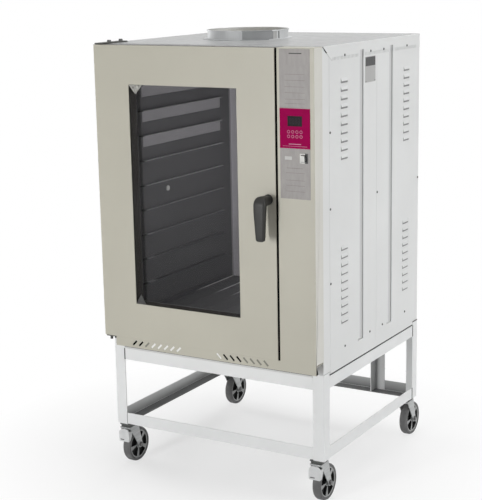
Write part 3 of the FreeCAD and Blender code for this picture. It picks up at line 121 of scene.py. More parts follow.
class Look:
    """A procedural material while it is put together."""

    def __init__(self, name, **constants):
        self.name = name
        self.material = bpy.data.materials.new(name)
        self.material.use_nodes = True
        self.tree = self.material.node_tree
        self.skin = self.tree.nodes["Principled BSDF"]
        self.place = self.tree.nodes.new("ShaderNodeTexCoord").outputs["Object"]
        for socket, value in constants.items():
            self.skin.inputs[socket.replace("_", " ")].default_value = value

    def join(self, source, target):
        self.tree.links.new(source, target)

    def noise(self, scale, stretch=(1, 1, 1), detail=3.0):
        """Noise over the part, which may be stretched along an axis."""
        spread = self.tree.nodes.new("ShaderNodeVectorMath")
        spread.operation = "MULTIPLY"
        self.join(self.place, spread.inputs[0])
        spread.inputs[1].default_value = stretch
        cloud = self.tree.nodes.new("ShaderNodeTexNoise")
        cloud.inputs["Scale"].default_value = scale
        cloud.inputs["Detail"].default_value = detail
        self.join(spread.outputs[0], cloud.inputs["Vector"])
        return cloud.outputs[0]

    def remap(self, value, start, end, low=0.0, high=1.0):
        ramp = self.tree.nodes.new("ShaderNodeMapRange")
        self.join(value, ramp.inputs["Value"])
        for socket, number in zip(("From Min", "From Max", "To Min", "To Max"), (start, end, low, high)):
            ramp.inputs[socket].default_value = number
        return ramp.outputs[0]

    def math(self, operation, first, second=None):
        node = self.tree.nodes.new("ShaderNodeMath")
        node.operation = operation
        self.join(first, node.inputs[0])
        if second is not None:
            self.join(second, node.inputs[1])
        return node.outputs[0]

    def along(self, axis):
        parts = self.tree.nodes.new("ShaderNodeSeparateXYZ")
        self.join(self.place, parts.inputs[0])
        return parts.outputs[axis]

    def fade(self, axis, start, end, low=0.0, high=1.0):
        """A ramp along a world axis, in metres."""
        return self.remap(self.along(axis), start, end, low, high)

    def back(self, start, end, low=0.0, high=1.0):
        """A ramp in metres back from the door's face."""
        return self.fade(DEEP, FACE + start, FACE + end, low, high)

    def both(self, first, second):
        return self.math("MULTIPLY", first, second)

    def tint(self):
        """What feeds the base colour so far."""
        return self.skin.inputs["Base Color"].links[0].from_socket

    def blend(self, share, first, second):
        """A mix of two colours, each given as numbers or as a socket."""
        mix = self.tree.nodes.new("ShaderNodeMix")
        mix.data_type = "RGBA"
        self.join(share, mix.inputs[0])
        for colour, socket in ((first, mix.inputs[MIX_FIRST]), (second, mix.inputs[MIX_SECOND])):
            if hasattr(colour, "is_output"):
                self.join(colour, socket)
            else:
                socket.default_value = (*colour, 1)
        return mix.outputs[MIX_COLOUR]

    def tone(self, cloud, colour, spread):
        """A colour that a noise makes a little darker and lighter."""
        dark = [c * (1 - spread) for c in colour]
        light = [min(1.0, c * (1 + spread)) for c in colour]
        return self.blend(self.remap(cloud, *NOISE_SPAN), dark, light)

    def colour(self, source):
        self.join(source, self.skin.inputs["Base Color"])

    def gloss(self, cloud, roughness, spread):
        rough = self.remap(cloud, *NOISE_SPAN, roughness - spread, roughness + spread)
        self.join(rough, self.skin.inputs["Roughness"])

    def relief(self, height, strength, depth):
        bump = self.tree.nodes.new("ShaderNodeBump")
        bump.inputs["Strength"].default_value = strength
        bump.inputs["Distance"].default_value = depth
        self.join(height, bump.inputs["Height"])
        self.join(bump.outputs[0], self.skin.inputs["Normal"])

    def edges(self, radius):
        """Near one along sharp outer edges, broken up by noise."""
        bevel = self.tree.nodes.new("ShaderNodeBevel")
        bevel.inputs["Radius"].default_value = radius
        facing = self.tree.nodes.new("ShaderNodeNewGeometry")
        dot = self.tree.nodes.new("ShaderNodeVectorMath")
        dot.operation = "DOT_PRODUCT"
        self.join(bevel.outputs[0], dot.inputs[0])
        self.join(facing.outputs["True Normal"], dot.inputs[1])
        worn = self.remap(dot.outputs["Value"], 0.97, 0.82)
        return self.both(worn, self.remap(self.noise(90.0), 0.45, 0.62))


def paint(name, colour, roughness=0.4, mottle=0.035, peel=0.10, worn=None, **constants):
    """Sprayed paint, faintly mottled, with a fine peel and edges that may be worn."""
    look = Look(name, **constants)
    tint = look.tone(look.noise(2.4, detail=5.0), colour, mottle)
    if worn:
        tint = look.blend(look.edges(0.002), tint, worn)
    look.colour(tint)
    look.gloss(look.noise(30.0), roughness, 0.06)
    look.relief(look.noise(700.0), peel, 0.0002)
    return look


def steel(name, colour, roughness=0.32, grain=(1, 1, 60), spread=0.10, metallic=1.0):
    """Metal with streaks along its grain."""
    look = Look(name, Metallic=metallic)
    streak = look.noise(14.0, grain, 6.0)
    look.colour(look.tone(streak, colour, spread))
    look.gloss(look.noise(40.0, grain), roughness, 0.08)
    look.relief(streak, 0.06, 0.0002)
    return look


def plastic(name, colour, roughness=0.42, worn=None, **constants):
    """Moulded plastic with a fine grain."""
    look = Look(name, **constants)
    tint = look.tone(look.noise(30.0, detail=4.0), colour, 0.08)
    if worn:
        tint = look.blend(look.edges(0.0015), tint, worn)
    look.colour(tint)
    look.gloss(look.noise(120.0), roughness, 0.07)
    look.relief(look.noise(1400.0), 0.12, 0.00015)
    return look


def rubber(name, colour):
    """Dusty rubber."""
    look = Look(name, Specular_IOR_Level=0.3)
    dust = look.remap(look.noise(22.0, detail=6.0), 0.42, 0.72)
    look.colour(look.blend(dust, colour, [c * 1.35 + 0.01 for c in colour]))
    look.gloss(look.noise(60.0), 0.68, 0.1)
    look.relief(look.noise(420.0, detail=5.0), 0.25, 0.0003)
    return look


def panel_paint():
    """Light grey skin paint, with painted shade darkening it down in the pressed grooves."""
    look = paint("panel_paint", (0.80, 0.81, 0.805))
    out = look.math("ABSOLUTE", look.along(ACROSS))
    look.colour(look.blend(look.remap(out, *GROOVE_DEPTH), (0.66, 0.665, 0.665), look.tint()))
    return look


def pan_paint():
    """Pan paint, with painted shade making it nearly black down in the slit between the side skins and the
    rails.
    """
    look = paint("pan_paint", (0.66, 0.665, 0.66), 0.5)
    side = look.remap(look.math("ABSOLUTE", look.along(ACROSS)), *PAN_FLANK)
    slit = look.both(side, look.fade(UP, *PAN_SLIT))
    look.colour(look.blend(slit, look.tint(), (0.03, 0.03, 0.03)))
    return look


def rail_inside_shade():
    """Paint inside the low rails with painted shade, darker towards their foot and darker still on the rear
    one.
    """
    look = paint("rail_inside_shade", (0.85, 0.86, 0.86), 0.55, 0.06)
    shaded = look.blend(look.fade(UP, *RAIL_SHADE), look.tint(), (0.38, 0.385, 0.385))
    rear = look.back(*REAR_RAIL, 0.0, 0.45)
    look.colour(look.blend(rear, shaded, (0.01, 0.01, 0.01)))
    return look


def post_paint():
    """Rear post paint in painted shade, darker towards its inner corner, with a painted highlight along its
    left edge.
    """
    look = paint("post_paint", (0.64, 0.645, 0.645), 0.5, 0.06)
    shaded = look.blend(look.fade(ACROSS, *POST_CORNER), (0.35, 0.355, 0.355), look.tint())
    look.colour(look.blend(look.fade(ACROSS, *POST_EDGE), shaded, (0.80, 0.80, 0.80)))
    return look


def bezel_plastic():
    """Rocker switch: pale over its left part, with painted shade making it black along its right edge."""
    look = plastic("bezel_plastic", (0.72, 0.72, 0.69), 0.32)
    look.colour(look.blend(look.fade(ACROSS, *SWITCH_EDGE), look.tint(), (0.02, 0.02, 0.02)))
    return look


def chamber_sheet():
    """Chamber liner: dull side walls, a lighter back, a dark floor that is darker towards the back, and rib
    tops with a painted highlight towards the back.
    """
    look = steel("chamber_liner", (0.46, 0.45, 0.465), 0.5, (1, 1, 30), 0.06, 0.0)
    walls = look.blend(look.back(*CHAMBER_BACK), look.tint(), (0.80, 0.78, 0.82))
    # Painted highlight on the rib tops towards the back
    rib = look.both(look.fade(UP, *RIB_TOPS), far_end(look))
    floor_tone = look.blend(look.back(*FLOOR_FADE), (0.18, 0.18, 0.183), (0.27, 0.265, 0.26))
    lower = look.blend(rib, floor_tone, (0.88, 0.88, 0.88))
    look.colour(look.blend(look.fade(UP, *CHAMBER_FLOOR), lower, walls))
    return look


def far_end(look):
    """Zero in the front half of the chamber, one near its back."""
    return look.back(*CHAMBER_FAR)


def rack_sheet(name, edge, inward):
    """Side rack: a dark plate, near black near the door, with a painted highlight on its foot towards the
    back and on its folded ledges up high and just behind the near-black front.
    """
    look = steel(name, (0.135, 0.135, 0.138), 0.5, (1, 40, 1), 0.08, 0.0)
    past_front = look.back(*RACK_DARK_FRONT)
    plate = look.blend(past_front, (0.022, 0.021, 0.019), look.tint())
    # Painted highlight on the foot towards the back
    foot = look.both(look.fade(UP, *RACK_FOOT), far_end(look))
    plate = look.blend(foot, plate, (0.88, 0.88, 0.88))
    # Painted highlights on the ledges up high and just behind the near-black front
    ledge_lit = look.math("MAXIMUM", look.fade(UP, *RACK_LIT_HEIGHT), look.back(*RACK_FRONT, 0.0, 0.6))
    ledge = look.both(look.both(ledge_lit, past_front), look.fade(ACROSS, edge, edge + inward * LEDGE_FOLD))
    look.colour(look.blend(ledge, plate, (0.60, 0.60, 0.61)))
    return look


def pane(name, alpha):
    """Thin dark glass that lets most of the light through."""
    look = Look(name, Base_Color=(0.012, 0.012, 0.014, 1), Alpha=alpha, IOR=1.5, Specular_IOR_Level=0.25)
    look.gloss(look.noise(9.0, detail=5.0), 0.05, 0.03)
    look.relief(look.noise(3.0), 0.02, 0.0004)
    return look


def wool():
    """Yellow mineral wool."""
    look = Look("mineral_wool", Roughness=0.95)
    fibre = look.noise(220.0, (1, 1, 0.15), 8.0)
    look.colour(look.tone(fibre, (0.52, 0.45, 0.29), 0.3))
    look.relief(fibre, 0.8, 0.002)
    return look


def film(name, colour, roughness, grain, shine=0.5):
    """Printed control film with a fine grain that runs up and down."""
    look = Look(name, Specular_IOR_Level=shine)
    look.colour(look.tone(look.noise(30.0, grain, 5.0), colour, 0.07))
    look.gloss(look.noise(80.0), roughness, 0.05)
    look.relief(look.noise(600.0, grain), 0.05, 0.0001)
    return look


def flue_sheet():
    """Rolled collar with a painted dark reflection over a band of its front, darker towards its right."""
    look = steel("flue_steel", (0.59, 0.60, 0.605), 0.58, (40, 40, 1), 0.05, 0.4)
    between = look.both(look.fade(ACROSS, *FLUE_LEFT), look.fade(ACROSS, *FLUE_RIGHT))
    # The painted dark reflection covers this band on the front only
    dull = look.both(between, look.fade(DEEP, *FLUE_FRONT))
    grey = look.blend(look.fade(ACROSS, *FLUE_SHADE), (0.35, 0.36, 0.365), (0.25, 0.255, 0.26))
    look.colour(look.blend(dull, look.tint(), grey))
    return look


LOOKS = {look.name: look for look in (
    paint("stand_paint", (0.85, 0.86, 0.86), 0.42, worn=(0.72, 0.72, 0.71)),
    # Darker copies of the stand paint: painted shade inside the stand and on its flat faces
    paint("stand_inside_shade", (0.235, 0.239, 0.239), 0.55, 0.2),
    rail_inside_shade(),
    paint("stand_flat_shade", (0.15, 0.152, 0.152), 0.55, 0.2),
    post_paint(),
    # Near black for the joints, as painted shade in their gaps
    paint("seam_shade", (0.05, 0.05, 0.05), 0.6, 0.15),
    panel_paint(),
    # The roof's top in a darker copy of the skin paint, as painted shade
    paint("roof_shade_paint", (0.53, 0.535, 0.535), 0.2, 0.03, 0.0, Specular_IOR_Level=0.004),
    pan_paint(),
    paint("front_paint", (0.535, 0.515, 0.432), 0.42),
    # A lighter copy of the front paint, as painted light on the column's right return
    paint("front_return_lit", (0.72, 0.71, 0.66), 0.42),
    paint("front_shade", (0.07, 0.068, 0.058), 0.5),
    steel("caster_steel", (0.47, 0.48, 0.48), 0.42, (1, 1, 8), 0.12, 0.5),
    plastic("pedal_grey", (0.72, 0.73, 0.73), 0.4, worn=(0.82, 0.82, 0.82)),
    steel("plate_steel", (0.085, 0.09, 0.085), 0.5, (6, 6, 6), 0.2, 0.4),
    plastic("hub_plastic", (0.31, 0.315, 0.315), 0.45),
    plastic("hub_rim", (0.38, 0.385, 0.38), 0.42),
    # Near black as painted shade down in the hubs' openings
    plastic("hub_shade", (0.03, 0.03, 0.03), 0.8, Specular_IOR_Level=0.1),
    rubber("tyre_rubber", (0.135, 0.135, 0.135)),
    flue_sheet(),
    steel("chamber_steel", (0.46, 0.46, 0.47), 0.38, (1, 1, 40)),
    chamber_sheet(),
    rack_sheet("rack_left", -0.3948, 1),
    rack_sheet("rack_right", 0.1878, -1),
    wool(),
    pane("clear_glass", 0.12),
    pane("inner_glass", 0.06),
    paint("spacer_black", (0.044, 0.040, 0.033), 0.45, 0.2),
    paint("spacer_bead", (0.13, 0.125, 0.11), 0.45, 0.3),
    # The glass clips: a lighter copy as painted light above, a darker copy as painted shade below
    steel("spacer_tab", (0.33, 0.325, 0.30), 0.4, (7, 7, 7), 0.7, 0.0),
    steel("spacer_tab_shade", (0.032, 0.032, 0.03), 0.5, (7, 7, 7), 0.5, 0.0),
    plastic("black_plastic", (0.030, 0.030, 0.028), 0.45, worn=(0.06, 0.06, 0.06),
            Specular_IOR_Level=0.3),
    rubber("seal_rubber", (0.035, 0.035, 0.035)),
    film("overlay_grey", (0.345, 0.325, 0.312), 0.40, (3, 3, 1), 0.4),
    film("keypad_red", (0.37, 0.001, 0.082), 0.5, (1, 1, 1), 0.03),
    film("display_dark", (0.022, 0.018, 0.022), 0.3, (1, 1, 1), 0.05),
    film("segment_dim", (0.042, 0.033, 0.04), 0.3, (1, 1, 1), 0.05),
    film("print_light", (0.62, 0.27, 0.41), 0.5, (1, 1, 1), 0.1),
    film("print_dark", (0.20, 0.17, 0.175), 0.5, (1, 1, 1)),
    film("print_black", (0.04, 0.038, 0.038), 0.5, (1, 1, 1)),
    film("tag_white", (0.56, 0.56, 0.54), 0.45, (1, 1, 1)),
    steel("plate_light", (0.46, 0.46, 0.455), 0.4, (1, 40, 1), 0.08, 0.0),
    steel("plate_dark", (0.04, 0.04, 0.042), 0.42, (1, 40, 1), 0.2, 0.0),
    bezel_plastic(),
    # Backing seen through the apron's slots: painted light where they show bright, painted shade where they
    # show dark
    paint("vent_lit", (0.93, 0.93, 0.91), 0.5),
    paint("vent_shade", (0.24, 0.235, 0.20), 0.5, 0.2),
    paint("motor_iron", (0.13, 0.14, 0.15), 0.5, 0.15, 0.5),
    steel("heater_steel", (0.20, 0.17, 0.155), 0.5, (30, 30, 30), 0.25),
    steel("fan_steel", (0.45, 0.45, 0.45), 0.35, (1, 20, 20)),
    plastic("lamp_glass", (0.88, 0.88, 0.85), 0.25),
    steel("hinge_steel", (0.055, 0.055, 0.048), 0.55, (6, 30, 6), 0.35, 0.0),
    steel("screw_steel", (0.15, 0.15, 0.15), 0.45, (9, 9, 9), 0.2, 0.3),
    plastic("controller_case", (0.30, 0.31, 0.32), 0.5),
    # Near black as painted shade in gaps, slots and seams
    plastic("gap_shade", (0.005, 0.005, 0.0045), 0.9, Specular_IOR_Level=0.02),
    # Grey fill behind the louvres, painted light in place of the dark inside
    paint("louvre_fill_grey", (0.30, 0.30, 0.30), 0.6, 0.2),
)}
NODE_LOOKS = {"cavity_liner": "chamber_liner", "rack_left": "rack_left", "rack_right": "rack_right",
              "base_pan": "pan_paint", "top_cover": "roof_shade_paint", "glass_inner": "inner_glass",
              "rocker_bezel": "bezel_plastic", "rocker": "bezel_plastic", "caster_plates": "plate_steel",
              "brake_pedal_front_left": "pedal_grey", "brake_pedal_front_right": "pedal_grey"}


def look_of(node):
    """A node's own look, or else that of its material slot."""
    return NODE_LOOKS.get(node, SLOT_OF[node])


def dress_nodes():
    """Give the CAD nodes their looks."""
    for node, cad in NODES.items():
        cad.data.materials.clear()
        cad.data.materials.append(LOOKS[look_of(node)].material)


# Mesh helpers

def piece(name, bm, body, looks, nodes=(), sharp=38):
    """Make an object of a bmesh. It rides on a body and may stand for CAD nodes."""
    mesh = bpy.data.meshes.new(name)
    bmesh.ops.recalc_face_normals(bm, faces=bm.faces)
    bm.to_mesh(mesh)
    bm.free()
    for look in looks:
        mesh.materials.append(LOOKS[look].material)
    mesh.shade_smooth()
    mesh.set_sharp_from_angle(angle=math.radians(sharp))
    obj = bpy.data.objects.new(name, mesh)
    bpy.context.scene.collection.objects.link(obj)
    even = obj.modifiers.new("even_normals", "WEIGHTED_NORMAL")
    even.keep_sharp = True
    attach(obj, body)
    if nodes:
        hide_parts(*nodes)


def turn_to(origin, axis):
    """A matrix whose z axis points along an axis from an origin."""
    return Matrix.Translation(origin) @ Z_AXIS.rotation_difference(axis).to_matrix().to_4x4()


def lathe(bm, profile, matrix, steps=48, index=0, closed=False):
    """Turn (height, radius) pairs in millimetres about the z axis of a matrix."""
    rings = []
    for height, radius in profile:
        angles = [2 * math.pi * k / steps for k in range(steps)]
        ring = [Vector((radius * math.cos(a), radius * math.sin(a), height)) * MM for a in angles]
        rings.append([bm.verts.new(matrix @ p) for p in ring])
    skin(bm, rings, index, closed)


def skin(bm, rings, index=0, closed=False):
    """Faces between rings of vertices, with end caps unless the rings close on themselves."""
    count = len(rings[0])
    pairs = list(zip(rings, rings[1:]))
    if closed:
        pairs.append((rings[-1], rings[0]))
    for low, high in pairs:
        for k in range(count):
            after = (k + 1) % count
            bm.faces.new((low[k], low[after], high[after], high[k])).material_index = index
    if not closed:
        bm.faces.new(rings[0]).material_index = index
        bm.faces.new(rings[-1]).material_index = index


def slab(bm, low, high, round_by=0.0, index=0):
    """Add a box between two points, with its edges rounded."""
    part = bmesh.new()
    bmesh.ops.create_cube(part, size=1)
    extent = high - low
    middle = (high + low) / 2
    for vert in part.verts:
        vert.co = Vector(v * e for v, e in zip(vert.co, extent)) + middle
    absorb(bm, part, round_by, index)


def round_edges(bm, edges, width, steps=2):
    """Round edges by a width in millimetres."""
    bmesh.ops.bevel(bm, geom=edges, offset=width * MM, segments=steps, profile=0.5, affect="EDGES")


def absorb(bm, part, round_by, index):
    """Round all edges of a bmesh, give it one look and move it into another bmesh."""
    if round_by:
        round_edges(part, part.edges[:], round_by)
    for face in part.faces:
        face.material_index = index
    shelf = bpy.data.meshes.new("shelf")
    part.to_mesh(shelf)
    part.free()
    bm.from_mesh(shelf)
    bpy.data.meshes.remove(shelf)


def prism(bm, outline, axis, start, end, round_by=0.0, index=0):
    """Extrude a closed outline of points along an axis vector, from start to end millimetres."""
    part = bmesh.new()
    ends = []
    for along in (start, end):
        ends.append([part.verts.new(p + axis * along * MM) for p in outline])
    skin(part, ends)
    absorb(bm, part, round_by, index)


def glide(points, steps):
    """Points of a smooth curve through the given tuples of numbers."""
    out = []
    for k in range(len(points) - 1):
        four = [points[max(k - 1, 0)], points[k], points[k + 1], points[min(k + 2, len(points) - 1)]]
        for step in range(steps):
            t = step / steps
            out.append([0.5 * (2 * b + (c - a) * t + (2 * a - 5 * b + 4 * c - d) * t * t
                               + (3 * b - a - 3 * c + d) * t ** 3) for a, b, c, d in zip(*four)])
    out.append(list(points[-1]))
    return out


def cad_copy(node):
    """A welded copy of a CAD node's mesh with its flat faces whole."""
    bm = bmesh.new()
    bm.from_mesh(NODES[node].data)
    bmesh.ops.remove_doubles(bm, verts=bm.verts, dist=WELD)
    bmesh.ops.dissolve_limit(bm, angle_limit=NEARLY_FLAT, verts=bm.verts, edges=bm.edges)
    return bm


def on_planes(face, planes):
    """Whether a face lies on one of the (axis, value) planes."""
    return any(all(abs(v.co[axis] - value) < ON_PLANE for v in face.verts) for axis, value in planes)


def sharp_edges(bm, limit):
    """Edges where two faces meet at more than an angle."""
    return [e for e in bm.edges if len(e.link_faces) == 2 and e.calc_face_angle(0) > limit]


def soften(node, width, sides=None, fillet=0.0, looks=None, pick=None, steps=2):
    """A copy of a CAD node with rounded edges. Sides, such as -y, keep them to edges of outer faces."""
    bm = cad_copy(node)
    planes = None
    if sides:
        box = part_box(node)
        planes = [("xyz".index(s[1]), box[s[0] == "+"]["xyz".index(s[1])]) for s in sides]
    crisp = sharp_edges(bm, CRISP)
    if fillet:
        round_edges(bm, [e for e in crisp if not e.is_convex], fillet, FILLET_STEPS)
        crisp = sharp_edges(bm, CRISP_AFTER_FILLET)
    outer = [e for e in crisp if e.is_convex
             and (not planes or all(on_planes(f, planes) for f in e.link_faces))]
    round_edges(bm, outer, width, steps)
    if pick:
        bm.normal_update()
        for face in bm.faces:
            face.material_index = pick(face)
    piece(node + "_shell", bm, BODY_OF[node], looks or [look_of(node)], [node])


# Stand and casters

# The stand paint, then darker copies of it as painted shade
STAND_LOOKS = ["stand_paint", "stand_inside_shade", "stand_flat_shade", "rail_inside_shade"]

# In metres: how near the outline a face counts as an outer flange, and what is still a low rail
HEEL_REACH = 0.006
LOW_RAIL_TOP = 0.25


def stand_look(face):
    """Index of a face's look: iron gets a darker copy of its paint as painted shade where it looks into the
    stand, darkest where it lies flat.
    """
    middle = face.calc_center_median()
    centre = spot(0, STAND_MIDDLE, 0)
    half = (SIDES[1] * MM, (STAND_BACK - STAND_MIDDLE) * MM)
    heel = any(abs(abs(middle[k] - centre[k]) - half[k]) < HEEL_REACH for k in range(2))
    flat = abs(face.normal.z) > 0.7
    inward = Vector((centre.x - middle.x, centre.y - middle.y, 0))
    looks_in = not flat and face.normal.dot(inward) > 0.05
    if heel:
        name = "rail_inside_shade" if looks_in and middle.z < LOW_RAIL_TOP else "stand_paint"
    elif flat:
        name = "stand_flat_shade"
    else:
        name = "stand_inside_shade" if looks_in else "stand_paint"
    return STAND_LOOKS.index(name)


def make_stand():
    """Angle iron with rounded edges and inner fillets."""
    for irons in ["leg_" + corner for corner in CORNERS] + ["upper_rails", "lower_rails"]:
        soften(irons, 1.2, fillet=4, looks=STAND_LOOKS, pick=stand_look)
    soften("rear_post", 1.2, fillet=4, looks=["post_paint"])
    soften("caster_plates", 0.8)
    make_rail_seams()


def make_rail_seams():
    """Dark strips where the rails meet the legs and the cabinet's pan: the joints, drawn with painted shade
    in their gaps.
    """
    leg_edge = SIDES[0] + IRON_WIDTH
    joint = STAND_BACK - IRON_WIDTH
    bm = bmesh.new()
    for foot, wide in zip(RAIL_FEET, (0.9, 2.6)):
        head = foot + IRON_WIDTH
        slab(bm, spot(leg_edge - wide, STAND_FRONT - 0.4, foot),
             spot(leg_edge + wide, STAND_FRONT + 0.4, head))
        for x in SIDES:
            slab(bm, spot(x - 0.3, joint - 4, foot), spot(x + 0.3, joint + 4, head))
    slab(bm, spot(leg_edge + 2, STAND_FRONT - 0.3, 536.6), spot(-leg_edge - 2, STAND_FRONT + 0.3, 541.4))
    for x in SIDES:
        slab(bm, spot(x - 1.2, joint - 1, 544.8), spot(x + 0.2, STAND_BACK - 1, 549))
    piece("rail_seams", bm, "cabinet", ["seam_shade"])


# Sections of tyre, hub and nuts as (along the axle, radius)
TYRE_RADIUS = 75
TYRE_HALF = [(-16.6, 62.1), (-17.6, 62.6), (-18, 63.6), (-18, 69.6), (-17.6, 70.9), (-16.6, 71.9),
             (-12.4, 74.3), (-10.6, 74.9), (-8, TYRE_RADIUS)]
HUB_LIP = [(14.4, 56.6), (15.4, 57.2), (16.2, 58.4), (16.4, 59.8), (16.2, 61.2), (15, 61.9), (14.4, 61.9)]
HUB_OPENINGS = (17, 56.5)
HUB_WEB = [(-3, 17.5), (-3, 56.5), (3, 56.5), (3, 17.5)]
NUT_WASHER = [(0, 11.5), (1.4, 11.5), (1.6, 11)]
AXLE_NUT = [(1.6, 9.6), (6.4, 9.6), (7.2, 8.4)]


def wheel_middle(corner):
    """Middle of a wheel, on its axle."""
    low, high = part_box("tyre_" + corner)
    return (low + high) / 2


def caster_x(corner):
    """Where a caster's kingpin stands, in millimetres."""
    return CASTER_OUT if corner.endswith("right") else -CASTER_OUT


def make_tyre(corner):
    """Round-shouldered tyre in place of the CAD ring."""
    profile = TYRE_HALF + [(0, TYRE_RADIUS)] + [(-along, radius) for along, radius in reversed(TYRE_HALF)]
    bm = bmesh.new()
    lathe(bm, profile, turn_to(wheel_middle(corner), X_AXIS), 72, closed=True)
    piece("tyre_%s_round" % corner, bm, "wheel_" + corner, ["tyre_rubber"],
          ["tyre_" + corner], 60)


def make_wheel_trim(corner):
    """A dark web between the spokes as painted shade, and a pale lip where the hub meets the tyre, on both
    faces.
    """
    base = turn_to(wheel_middle(corner), X_AXIS)
    bm = bmesh.new()
    lathe(bm, HUB_WEB, base, 48, 1, True)
    for side in (-1, 1):
        lathe(bm, [(side * along, radius) for along, radius in HUB_LIP], base, 64, 0, True)
    piece("wheel_trim_" + corner, bm, "wheel_" + corner, ["hub_rim", "hub_shade"], sharp=50)


# Swivel housing: its middle from the door's face, width, half depth, corner radius and (height, inset) rings
HOUSING_MIDDLE = {"front": 92.5, "rear": 953.5}
HOUSING_WIDTH = 53
HOUSING_HALF = 27
HOUSING_CORNER = 8
HOUSING_RINGS = ((173.3, 1.2), (174.2, 0.2), (178, 0), (181.9, 0))


def make_swivel_cover(corner):
    """Square bearing housing with rounded corners round the swivel race, under the top plate."""
    middle = HOUSING_MIDDLE[corner.split("_")[0]]
    bm = bmesh.new()
    rings = []
    for z, inset in HOUSING_RINGS:
        bend = HOUSING_CORNER - inset
        outline = rounded(HOUSING_WIDTH - 2 * inset, inset - HOUSING_HALF, HOUSING_HALF - inset, bend, bend)
        rings.append([bm.verts.new(spot(caster_x(corner) + x, middle + y, z)) for x, y in outline])
    skin(bm, rings)
    piece("swivel_cover_" + corner, bm, "cabinet", ["plate_steel"], sharp=45)


def make_axle_nuts(corner):
    """Hexagon nuts with washers on both ends of a caster's axle."""
    bm = bmesh.new()
    for side in (-1, 1):
        base = turn_to(wheel_middle(corner) + X_AXIS * side * FORK_HALF * MM, X_AXIS * side)
        lathe(bm, NUT_WASHER, base, 32)
        lathe(bm, AXLE_NUT, base, 6)
    piece("axle_nuts_" + corner, bm, "swivel_" + corner, ["screw_steel"], sharp=30)


def rounded(width, low, high, top, bottom, steps=6):
    """Outline (x, z) of a plate whose upper and lower corners have their own radii."""
    out = []
    for x, z, radius, first in ((width / 2, high, top, 0), (-width / 2, high, top, 1),
                                (-width / 2, low, bottom, 2), (width / 2, low, bottom, 3)):
        cx = x - math.copysign(radius, x)
        cz = z - radius if z == high else z + radius
        for step in range(steps + 1):
            angle = math.pi / 2 * (first + step / steps)
            out.append((cx + radius * math.cos(angle), cz + radius * math.sin(angle)))
    return out


# Brake pedal: foot plate, then (y, inset) rings from back to front, then side views of arm and cheek
PEDAL_WIDTH = 54
PEDAL_FOOT = 110
PEDAL_HEAD = 168
PEDAL_SHOULDER = 20
PEDAL_TOE = 6
PEDAL_RINGS = ((57.2, 2.2), (56.4, 0.6), (54.5, 0), (52, 0.2), (50.5, 1.2), (50.1, 2.6))
PEDAL_ARM = ((55, 149.5), (76, 149.5), (79, 146.5), (84, 145.4), (88.2, 149),
             (88.2, 154), (84, 158), (79, 157), (76, 154), (55, 154))
ARM_HALF = 21.4
PEDAL_CHEEK = ((54, 113), (62, 116), (73, 136), (76, 152), (70, 157), (54, 155))
CHEEK_SHEET = 1.2


def make_pedal(corner):
    """Brake pedal: a dished foot plate with a rounded shoulder, hung by its arm on the fork's cross pin."""
    middle = caster_x(corner)
    bm = bmesh.new()
    rings = []
    for y, inset in PEDAL_RINGS:
        outline = rounded(PEDAL_WIDTH - 2 * inset, PEDAL_FOOT + inset, PEDAL_HEAD - inset,
                          PEDAL_SHOULDER - inset, PEDAL_TOE - inset)
        rings.append([bm.verts.new(spot(middle + x, y, z)) for x, z in outline])
    skin(bm, rings)
    # A dark strip on the foot plate, painted shade for its slot
    slab(bm, spot(middle - 19, 49.5, 118), spot(middle + 1, 50.4, 122), 0.4, 1)
    prism(bm, [spot(middle, y, z) for y, z in PEDAL_ARM], X_AXIS, -ARM_HALF, ARM_HALF, 0.6)
    for start in (-PEDAL_WIDTH / 2, PEDAL_WIDTH / 2 - CHEEK_SHEET):
        prism(bm, [spot(middle, y, z) for y, z in PEDAL_CHEEK], X_AXIS, start, start + CHEEK_SHEET, 0.3)
    name = "brake_pedal_" + corner
    piece(name + "_form", bm, "pedal_" + corner, ["pedal_grey", "plate_dark"], [name])


def make_hub(corner):
    """Spoked hub, with painted shade making it dark down in the openings between its spokes."""
    middle = wheel_middle(corner)

    def hollow(face):
        off = face.calc_center_median() - middle
        inside = HUB_OPENINGS[0] < math.hypot(off.y, off.z) / MM < HUB_OPENINGS[1]
        return int(abs(face.normal.x) < 0.5 and inside)

    soften("wheel_hub_" + corner, 0.9, looks=["hub_plastic", "hub_shade"], pick=hollow)


def make_casters():
    """Forks, wheels and swivel housings at the four corners, and pedals at the front."""
    for corner in CORNERS:
        soften("caster_fork_" + corner, 0.6)
        make_hub(corner)
        make_tyre(corner)
        make_wheel_trim(corner)
        make_swivel_cover(corner)
        make_axle_nuts(corner)
    for corner in CORNERS[:2]:
        make_pedal(corner)


# Cabinet

def islands(node):
    """Boxes of a CAD node's separate solids."""
    bm = bmesh.new()
    bm.from_mesh(NODES[node].data)
    bmesh.ops.remove_doubles(bm, verts=bm.verts, dist=WELD)
    left = dict.fromkeys(bm.verts)
    boxes = []
    while left:
        stack = [left.popitem()[0]]
        found = []
        while stack:
            vert = stack.pop()
            found.append(vert.co.copy())
            for edge in vert.link_edges:
                other = edge.other_vert(vert)
                if other in left:
                    del left[other]
                    stack.append(other)
        low = Vector(min(p[k] for p in found) for k in range(3))
        high = Vector(max(p[k] for p in found) for k in range(3))
        boxes.append((low, high))
    bm.free()
    return boxes


# Sections as (height, radius), and the cross slot's arms as half lengths
BOLT_WASHER = [(0, 10.6), (1.2, 10.6), (1.4, 10)]
BOLT_HEAD = [(1.4, 9), (7, 9), (8, 7.8)]
SCREW_DOME = [(0, 5), (0.7, 5), (1.5, 4.5), (2.1, 3.4), (2.4, 1.6)]
RIVET_HEAD = [(0, 2.4), (0.6, 2.2), (1.1, 1.2)]
SLOT_HEIGHT = 2.45
SLOT_ARMS = ((0.12, 3.0, 0.55), (0.12, 0.55, 3.0))


